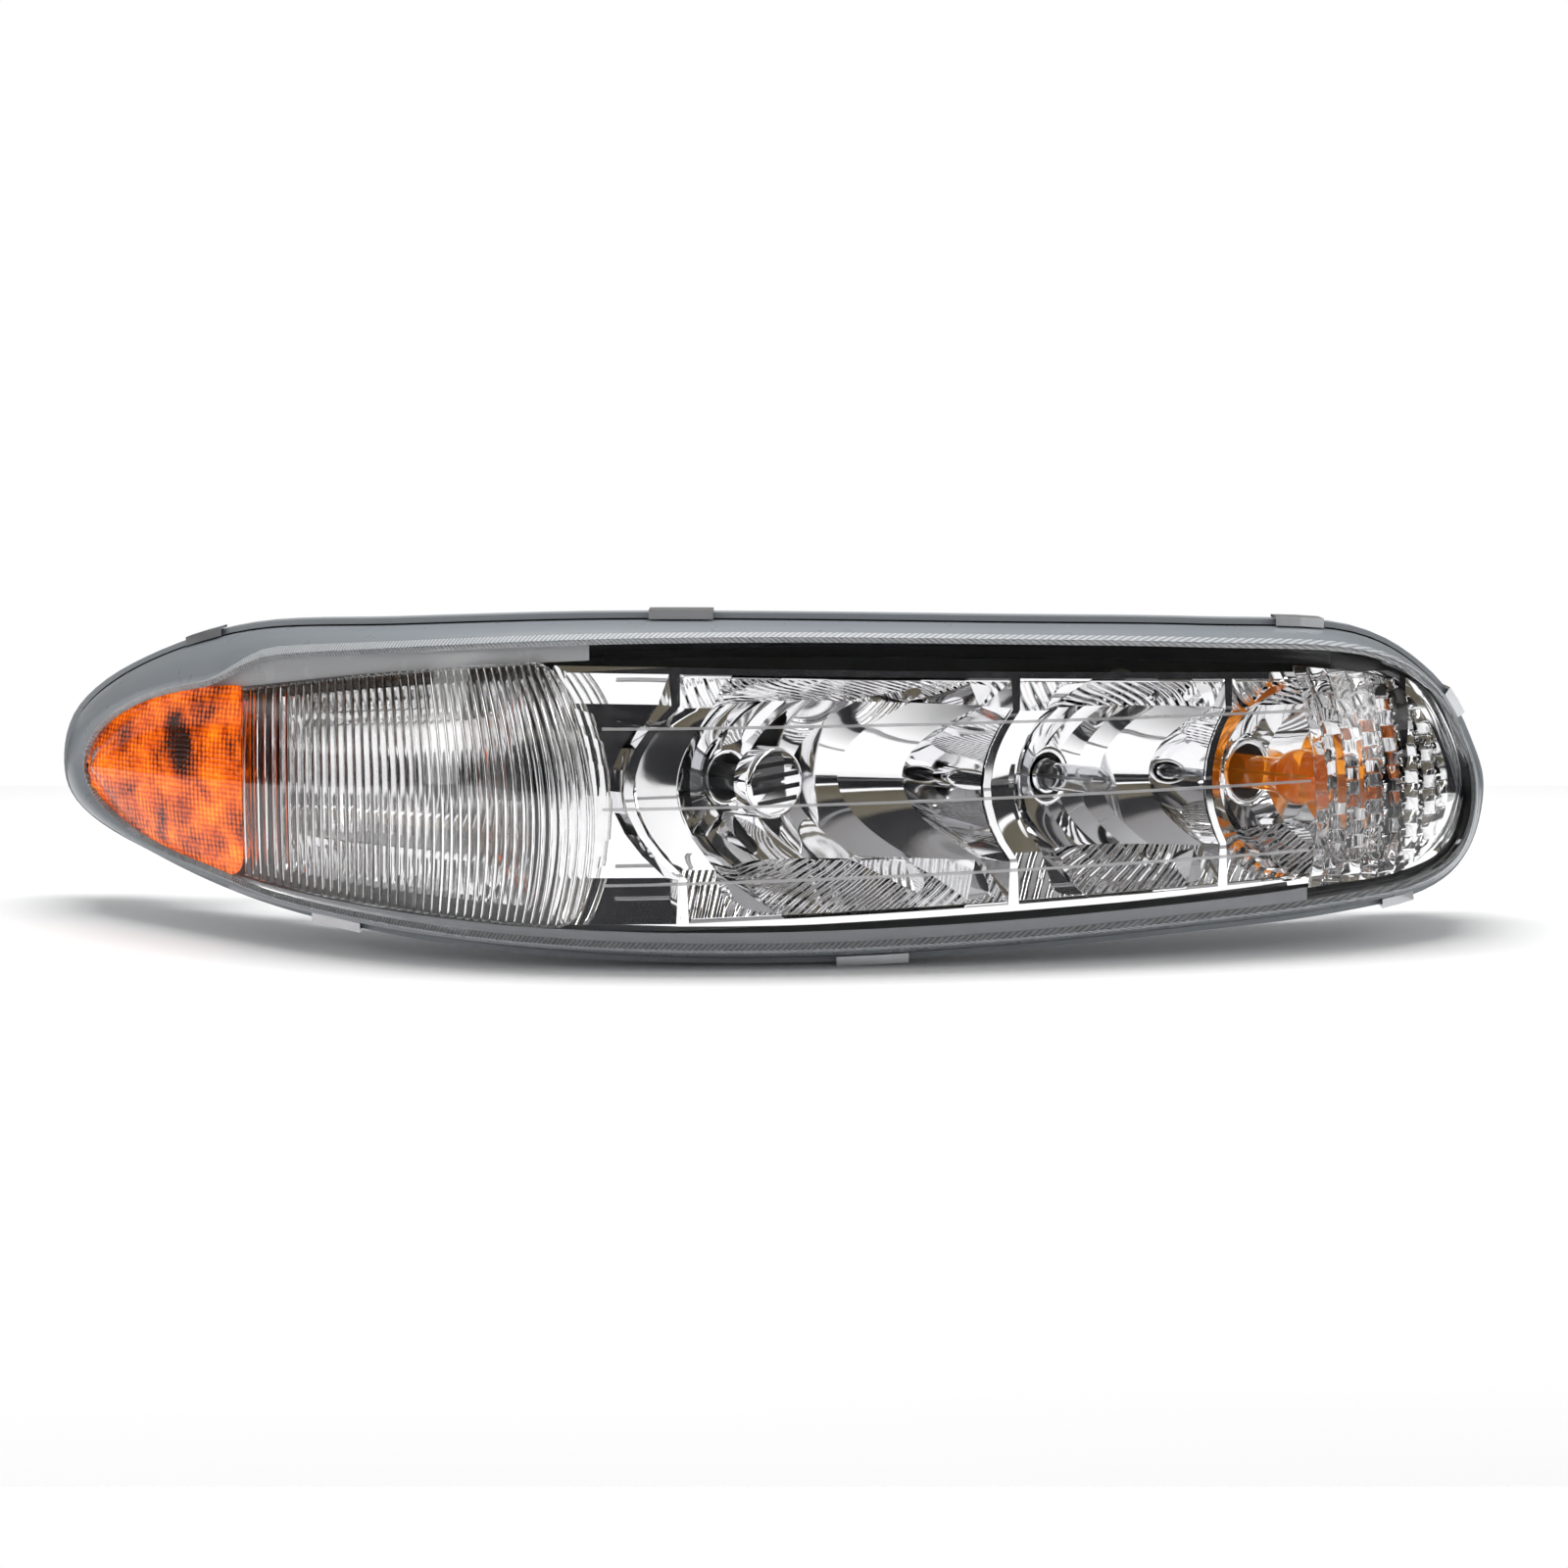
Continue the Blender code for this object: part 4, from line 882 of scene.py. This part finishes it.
# ---------------------------------------------------------------- housing
def make_housing():
    us = samples(6)
    wall = HOUSING_WALL
    outer = [
        [rim(u, -0.8 - wall, SKIRT_DEPTH) for u in us],
        [rim(u, -0.8 - wall, FLANGE_BACK) for u in us],
        [rim(u, 6.0, FLANGE_BACK + 5) for u in us],
        [tub(u, 14.0, 10.0) for u in us],
        [tub(u, 16.0, 4.0) for u in us],
        [tub(u, 20.0, 0.0) for u in us],
    ]
    inner = [
        [rim(u, -0.8, SKIRT_DEPTH) for u in us],
        [rim(u, -0.8, CHANNEL_FLOOR) for u in us],
        [rim(u, LENS_WALL + 0.8, CHANNEL_FLOOR) for u in us],
        [rim(u, LENS_WALL + 0.8, SKIRT_DEPTH + 4) for u in us],
        [rim(u, LENS_WALL + 3.0, SKIRT_DEPTH + 4) for u in us],
        [rim(u, 6.0 + wall, FLANGE_BACK + 4) for u in us],
        [tub(u, 14.0 + wall, 11.5) for u in us],
        [tub(u, 21.0, wall) for u in us],
    ]
    caps = (lambda p, t: back_q(p), lambda p, t: back_q(p) + wall)
    shape = rings_with_caps(list(reversed(outer)) + inner, 8, caps)
    housing = piece("housing_shell", shape, GREY, "housing", ["housing"])
    joined, bored = [], []
    for name, (inner_r, rear, front) in PORTS.items():
        place = optics((BOWLS[name]["x"], rear, BOWLS[name]["z"]))
        joined.append((rod(inner_r + wall, 0, rear - front, 64), place))
        bored.append((rod(inner_r, -1, rear - front + 1, 64), place))
    for p, z, _, _, _, bore, rear, front in SIDE_LAMPS.values():
        place = straight(chord(p, rear, z))
        joined.append((rod(bore + wall, 0, front - rear), place))
        bored.append((rod(bore, -1, front - rear + 1), place))
    for x, z, back in AIM_POINTS.values():
        place = aim((x, back, z))
        joined.append((rod(BUSHING_R + GAP + wall, 0, 14.0), place))
        bored.append((rod(BUSHING_R + GAP, -1, 15.0), place))
    for (p, q, z), (half_p, half_z), (hole_p, hole_z) in PADS.values():
        block = box((-half_p, -half_z, 0), (half_p, half_z, PAD_DEPTH), 1.2)
        joined.append((block, straight(chord(p, q, z))))
        for side in (-1, 1):
            at = chord(p + side * hole_p, q, z + side * hole_z)
            bored.append((rod(PAD_SCREW_R, -1, 14, 24), straight(at)))
    half_p, half_z = INLET_HALF
    foot = box((-half_p - 2, -half_z - 2, 0), (half_p + 2, half_z + 2, 16), 1.2)
    joined.append((foot, straight(chord(*INLET))))
    for spot in VENTS.values():
        joined.append((rod(4.5, 0, 22, 24), straight(chord(*spot))))
        bored.append((rod(2.2, -1, 23, 24), straight(chord(*spot))))
    combine(housing, "UNION", joined)
    combine(housing, "DIFFERENCE", bored)


# ---------------------------------------------------------------- main reflector
def bezel_y(x):
    """The y of the bezel's front edge at x, both in the optics frame."""
    c, s = math.cos(SWEEP), math.sin(SWEEP)
    low, high = -260.0, 260.0
    for _ in range(30):
        y = (low + high) / 2
        if -x * s - y * c > lens_q(x * c - y * s) - BEZEL_SETBACK:
            low = y
        else:
            high = y
    return low


BEZEL = [(x, bezel_y(x)) for x in range(-70, 301, 10)]


def bezel(x):
    return through(BEZEL, x)


def rim_x(name, z):
    if name is None:
        return REFLECTOR_X[1] + LIP
    bowl = BOWLS[name]
    return bowl["rim"] + bowl["bow"] * min((z + 5.0) ** 2 / 2500.0, 1.0)


def bowl_y(name, x, z):
    """The bowl's curved back, or the pocket's least depth where that lies further back."""
    bowl = BOWLS[name]
    y = bowl["y"] - ((x - bowl["x"]) ** 2 + (z - bowl["z"]) ** 2) / (4 * bowl["f"])
    return max(y, bezel(x) + POCKET)


def bowl_rows(name):
    """The rows of a bowl's skin: its part, its z, and its share of the way along a shelf."""
    top = between(BOWLS[name]["x"], *BEZEL_TOP) - CEILING_RISE
    low = between(BOWLS[name]["x"], *BEZEL_BOTTOM) + FLOOR_FALL
    rows = [("ceiling", top, r / SHELF_ROWS) for r in range(SHELF_ROWS)]
    rows += [("back", top + (low - top) * r / BACK_ROWS, 0.0) for r in range(BACK_ROWS + 1)]
    return rows + [("floor", low, r / SHELF_ROWS) for r in range(1, SHELF_ROWS + 1)]


def bowl_columns(name):
    """The columns: their facet's two edges, and their share of the way across it."""
    columns = [(0.0, 0.0, 0.0)]
    for a, b in zip(FACETS[name], FACETS[name][1:]):
        columns += [(a, b, c / FACET_COLS) for c in range(FACET_COLS)]
    return columns + [(1.0, 1.0, 0.0), (1.0, 1.0, 0.0)]


def make_bowl(name, after):
    """A bowl's bright skin: ridged ceiling, faceted back, ridged floor and side walls."""
    rows, columns = bowl_rows(name), bowl_columns(name)
    last = len(columns) - 1
    front, back = [], []
    for kind, z, v in rows:
        run = {"ceiling": 1 - v, "floor": v, "back": 0.0}[kind]
        over = {"ceiling": 0.5, "floor": -0.5, "back": 0.0}[kind]
        low, high, sign = (*BEZEL_BOTTOM, -1) if kind == "floor" else (*BEZEL_TOP, 1)
        x0 = rim_x(name, z) + DRAFT + 0.4
        x1 = rim_x(after, z) - LIP - DRAFT - 0.4
        front_row, back_row = [], []
        for c, (a, b, s) in enumerate(columns):
            xa, xb = x0 + (x1 - x0) * a, x0 + (x1 - x0) * b
            x = xa + (xb - xa) * s
            near = bezel(x) + 0.5
            deep = bowl_y(name, xa, z) * (1 - s) + bowl_y(name, xb, z) * s - SKIN
            y = near if c in (0, last) else deep + (near - deep) * run
            out = (between(x, low, high) - z - sign * 1.2) * run
            x += {0: -DRAFT, last: DRAFT}.get(c, 0.0)
            front_row.append((x, y, z + out))
            back_row.append((x, y + 0.8, z + out + over))
        front.append(front_row)
        back.append(back_row)
    shape = sheet_solid(front, back)
    skin = piece(name + "_bowl_skin", shape, CHROME, "reflector", (), optics_plain, FACET_ANGLE)
    skin.data.materials.append(RIDGED)
    for r in (*range(SHELF_ROWS), *range(SHELF_ROWS + BACK_ROWS, len(rows) - 1)):
        for c in range(last):
            skin.data.polygons[2 * (r * last + c)].material_index = 1
    at = (BOWLS[name]["x"], BOWLS[name]["y"] + 10, BOWLS[name]["z"])
    combine(skin, "DIFFERENCE", [(rod(SEATS[name][0] + 0.6, 0, 40, 48), optics(at))], FACET_ANGLE)


# ---------------------------------------------------------------- side lamps
def tray(p0, p1, setback, depth, cols, rows, margin=9.0):
    grid = []
    for r in range(rows + 1):
        t = 1 - 2 * r / rows
        row = []
        for c in range(cols + 1):
            s = 2 * c / cols - 1
            p = p0 + (p1 - p0) * c / cols
            top = through(TOP_EDGE, p) - margin
            bottom = through(BOTTOM_EDGE, max(p, BOTTOM_EDGE[0][0])) + margin
            z = (top + bottom) / 2 + t * (top - bottom) / 2
            row.append(chord(p, lens_q(p) - setback - depth * (1 - s**4) * (1 - t**4), z))
        grid.append(row)
    return grid


def make_side_skin(name):
    p, z, p0, p1, depth, bore, _, front = SIDE_LAMPS[name]
    face = tray(p0, p1, 22.0, depth - 0.6, 60, 40, 9.6)
    back = tray(p0, p1, 22.7, depth - 0.6, 60, 40, 9.6)
    skin = piece(name + "_dish_skin", sheet_solid(face, back), CHROME, "housing", smooth=50)
    combine(skin, "DIFFERENCE", [(rod(bore, -10, 120), straight(chord(p, front, z)))])


def make_amber():
    """The amber piece, with small prisms in a honeycomb on its back."""
    def relief(p, z):
        pitch = 2.2
        a, b = 2 * math.pi * p * 1.3 / pitch, 2 * math.pi * z / pitch
        total = math.cos(a) + math.cos(a / 2 + b * 0.866) + math.cos(a / 2 - b * 0.866)
        return 0.16 * (total + 1.5)

    def edges(p):
        low, high = through(BOTTOM_EDGE, p) + 0.5, through(TOP_EDGE, p) - 0.5
        over = max(p - (AMBER_WINDOW[1] - 10.0), 0.0)
        drop = 10.0 - math.sqrt(max(100.0 - over**2, 0.0))
        return low + drop, high - drop * 0.2

    plate_behind_lens(
        "amber_prism_lens", AMBER, AMBER_WINDOW, (150, 130), edges, 4.2, 1.6, relief,
        stands_for=["amber_side_lens"],
    )


# ---------------------------------------------------------------- bulbs and shield
GLASS = {
    "low": ((6.3, 10.3), (6.3, 40), (4.5, 45), (0, 47)),
    "high": ((6.5, 10.3), (6.5, 50), (4.0, 56), (0, 58)),
    "turn": ((8, 10.3), (8, 36), (10, 42), (12.4, 47), (13.3, 52), (12.4, 57), (9, 62), (0, 65.3)),
    "corner": ((8, 34.3), (8, 50), (12, 58), (12.8, 64), (10, 71), (0, 75)),
    "marker": ((5, 36.3), (5, 52), (7.5, 58), (7.5, 64), (5, 69), (0, 70.5)),
}


def seat_place(name):
    if name in SEATS:
        bowl = BOWLS[name]
        return optics((bowl["x"], bowl["y"] + SEATS[name][2], bowl["z"]))
    p, z, _, _, _, _, rear, _ = SIDE_LAMPS[name]
    return straight(chord(p, rear, z))


def make_glass(name):
    """A bulb's thin glass, its wires and its filament."""
    place, body = seat_place(name), name + "_bulb"
    (foot_r, foot_z), tip = GLASS[name][0], GLASS[name][-1][1]
    outer = rounded(GLASS[name], 6.0, 6)
    inner = [(max(r - GLASS_WALL, 0.0), z - (GLASS_WALL if r < 0.1 else 0.0)) for r, z in reversed(outer)]
    shape = turned(outer + inner, 40, closed=True)
    glass = AMBER_GLASS if name == "turn" else BULB_GLASS
    piece(name + "_glass_envelope", shape, glass, body, [name + "_bulb_glass"], place, 60)
    if name == "high":
        near, far, top = foot_r + 0.3, foot_r + 2.2, foot_z + 8.0
        foot = [(near, foot_z), (far, foot_z), (far, top - 1.0), (foot_r + 1.4, top), (near, top)]
        piece(name + "_glass_foot", turned(foot, 48, closed=True), CHROME, body, (), place, 50)
    middle, reach = tip - 14.0, foot_r * 0.35
    for side in (-1, 1):
        x = side * reach
        wire = [(x * 0.6, 0, foot_z + 0.2), (x * 0.6, 0, middle - 6), (x, 0, middle)]
        support = tube_along(wire, SUPPORT_R)
        piece("%s_support_%s" % (name, "ab"[side > 0]), support, TUNGSTEN, body, (), place)
    coil = []
    for k in range(COIL_TURNS * 10 + 1):
        a = 2 * math.pi * k / 10
        x = -reach + 2 * reach * k / (COIL_TURNS * 10)
        coil.append((x, COIL_R * math.cos(a), middle + 0.6 + COIL_R * math.sin(a)))
    piece(name + "_filament", tube_along(coil, 0.12, 6), TUNGSTEN, body, (), place)


def make_shield():
    """The slotted bright cup in front of the low-beam bulb, and a black disc of painted shade inside it.
    """
    place = seat_place("low")
    outer = rounded(((0, 53), (16.5, 53), (16.5, 43)), 2.2, 6)
    inner = rounded(((15.7, 43), (15.7, 52.2), (0, 52.2)), 1.6, 6)
    shape = turned(outer + inner, 64)
    cup = piece("low_beam_cup", shape, CHROME, "reflector", ["low_beam_shield"], place)
    combine(cup, "UNION", [(box((-3, -16.45, 18.3), (3, -15.75, 44), 0.2), place)])
    slots = []
    for y in SHIELD_SLOTS:
        verts, faces = box((-20, y - 1.1, 47), (20, y + 1.1, 58), 0.3)
        half = math.sqrt(15.0**2 - y * y) - 1.0
        verts = [spun((max(min(v[0], half), -half), v[1], v[2]), SLOT_TILT) for v in verts]
        slots.append(((verts, faces), place))
    combine(cup, "DIFFERENCE", slots)
    # Painted shade: a black disc inside the cup, behind its slots, where the cup's inside lies in shadow.
    shade_disc = turned(((0, 51.2), (15.2, 51.2), (15.2, 51.8), (0, 51.8)), 48)
    piece("low_beam_cup_shade_disc", shade_disc, BLACK, "reflector", (), place)


def make_collar(name):
    """The bright ring round a bulb's hole."""
    hole_r = SEATS[name][0]
    near, far = hole_r - 1.0, hole_r + 2.2
    ring = [(near, 10.4), (far, 10.4), (far, 17.5), (hole_r + 0.8, 18.2), (near, 17.5)]
    shape = turned(ring, 64, closed=True)
    piece(name + "_hole_collar", shape, CHROME, "reflector", (), seat_place(name), 50)


# ---------------------------------------------------------------- rear pieces
def make_cap(name):
    """A dust cap with a grip bar and ribs round its edge."""
    inner_r, rear, _ = PORTS[name]
    place = optics((BOWLS[name]["x"], rear, BOWLS[name]["z"]))
    tube = inner_r + HOUSING_WALL
    outer = tube + 3.0
    profile = rounded((
        (0, -5.4), (inner_r - 7, -5.4), (inner_r - 5, -8), (outer - 2, -8), (outer, -6), (outer, 8),
        (tube + 0.8, 8), (tube + 0.8, -2.6), (0, -2.6),
    ), 1.2)
    shape = turned(profile, 96)
    cap = piece(name + "_cap_cover", shape, RUBBER, name + "_cap", [name + "_dust_cap"], place)
    grip = inner_r - 4.5
    ribs = [(box((-grip, -3.5, -13), (grip, 3.5, -4), 1.2), place)]
    for k in range(CAP_RIBS):
        verts, faces = box((outer - 1.0, -0.9, -5), (outer + 0.35, 0.9, 6.5), 0.3)
        turn = 2 * math.pi * k / CAP_RIBS
        ribs.append((([spun(v, turn) for v in verts], faces), place))
    combine(cap, "UNION", ribs)


def make_screw(name):
    """An adjuster's screw: round head with a slot, and threaded shank."""
    x, z, back = AIM_POINTS[name]
    place = aim((x, 0, z))
    profile = [(0, -16), (4.6, -16), (5, -15.4), (5, -8), (THREAD_R, -8)]
    for k in range(int((back + 20) / THREAD_LEAD)):
        low = -7 + k * THREAD_LEAD
        profile += [(THREAD_R, low), (THREAD_R - THREAD_DEPTH, low + THREAD_LEAD * 0.5)]
    profile = [(r, h - back) for r, h in profile] + [(THREAD_R - 0.4, 13), (0, 13)]
    shape = turned(profile, 24)
    screw = piece(name + "_screw_thread", shape, ZINC, name + "_screw", [name + "_screw"], place, 25)
    slot = box((-0.9, -6, -back - 17), (0.9, 6, -back - 13.5))
    combine(screw, "DIFFERENCE", [(slot, place)])


def dress(nodes, mat):
    for name in nodes:
        mesh = frame["nodes"][name].data
        mesh.materials.clear()
        mesh.materials.append(mat)


def dress_nodes():
    dress([name + "_bulb_base" for name in GLASS], BLACK)
    dress(["harness_inlet", "vertical_bushing", "horizontal_bushing"], BLACK)
    dress([name + "_bulb_ring" for name in GLASS], RING)
    dress(["low_cap_seal", "high_cap_seal", "turn_cap_seal", "inner_vent_cap", "outer_vent_cap"], RUBBER)
    dress(["reflector", "corner_reflector", "marker_reflector"], CHROME)
    dress(["lens_seal"], SEALANT)
    dress(["pivot_ball_stud"], ZINC)
    dress([n + "_ball_socket" for n in AIM_POINTS] + ["vertical_ball_nut", "horizontal_ball_nut"], NYLON)
    dress(["lens_clip_%d" % k for k in range(1, 8)], SPRING)
    dress(["inlet_blade_%d" % k for k in range(1, 5)], BRASS)


# ---------------------------------------------------------------- studio
def make_floor():
    low = CAD_BOUNDS[0][2] / MM + ORIGIN.z
    x0, x1, y0, y1 = FLOOR
    corners = [(Vector((x, y, low)) - ORIGIN) * MM for x, y in ((x0, y0), (x1, y0), (x1, y1), (x0, y1))]
    mesh = bpy.data.meshes.new("floor")
    mesh.from_pydata(corners, [], [(0, 1, 2, 3)])
    floor = bpy.data.objects.new("floor", mesh)
    bpy.context.scene.collection.objects.link(floor)
    mat, node = shader("pale_floor", (0.93, 0.93, 0.93), 0.9)
    vary(mat, node, "Base Color", noise(mat, 2.0), (0.92, 0.92, 0.92), (0.94, 0.94, 0.94))
    mesh.materials.append(mat)


def make_world():
    """White to the camera, even on matt surfaces, and a banded studio in every gloss."""
    world = bpy.data.worlds.new("studio")
    bpy.context.scene.world = world
    world.use_nodes = True
    tree = world.node_tree
    tree.nodes.clear()

    def background(colour):
        return wired(tree, "Background", {"Color": colour}).outputs["Background"]

    def mixed(share, first, second):
        return wired(tree, "MixShader", {"Fac": share, 1: first, 2: second}).outputs["Shader"]

    path = tree.nodes.new("ShaderNodeLightPath").outputs
    ahead = tree.nodes.new("ShaderNodeTexCoord").outputs["Generated"]
    height = wired(tree, "SeparateXYZ", {"Vector": ahead}).outputs["Z"]
    share = wired(tree, "Math", {0: height, 1: 0.5, 2: 0.5}, operation="MULTIPLY_ADD")
    bands = background(colour_ramp(tree, share.outputs["Value"], STUDIO))
    inputs = {0: path["Is Glossy Ray"], 1: path["Is Transmission Ray"]}
    in_gloss = wired(tree, "Math", inputs, operation="MAXIMUM").outputs["Value"]
    matt = background((MATT_LIGHT, MATT_LIGHT, MATT_LIGHT, 1.0))
    plain_view = mixed(path["Is Camera Ray"], matt, background((*WHITE, 1.0)))
    wired(tree, "OutputWorld", {"Surface": mixed(in_gloss, plain_view, bands)})


def make_light(name, place, size, power):
    """A soft lamp that faces the lens's middle."""
    data = bpy.data.lights.new(name, "AREA")
    data.shape = "RECTANGLE"
    data.size, data.size_y = size
    data.energy = power
    obj = bpy.data.objects.new(name, data)
    bpy.context.scene.collection.objects.link(obj)
    at = (Vector(place) - ORIGIN) * MM
    obj.location = at
    obj.rotation_euler = (-ORIGIN * MM - at).to_track_quat("-Z", "Y").to_euler()
    obj.visible_camera = False


def make_camera():
    data = bpy.data.cameras.new("camera")
    data.lens = CAMERA_LENS
    data.sensor_width = 36.0
    obj = bpy.data.objects.new("camera", data)
    bpy.context.scene.collection.objects.link(obj)
    c, s = math.cos(CAMERA_ELEVATION), math.sin(CAMERA_ELEVATION)
    away = Vector((0, -c, s)) * CAMERA_DISTANCE
    obj.location = (away - ORIGIN) * MM
    obj.rotation_euler = (-away).to_track_quat("-Z", "Y").to_euler()
    bpy.context.scene.camera = obj


def main():
    bpy.context.scene.view_settings.view_transform = "Standard"
    make_camera()
    make_world()
    make_floor()
    for name, (place, size, power) in LIGHTS.items():
        make_light(name, place, size, power)
    dress_nodes()
    make_lens()
    make_flutes()
    make_prisms()
    make_ribs()
    make_strips()
    make_housing()
    for name, after in (("low", "high"), ("high", "turn"), ("turn", None)):
        make_bowl(name, after)
        make_collar(name)
        make_cap(name)
    for name in SIDE_LAMPS:
        make_side_skin(name)
    make_amber()
    for name in GLASS:
        make_glass(name)
    make_shield()
    for name in ("vertical", "horizontal"):
        make_screw(name)


main()
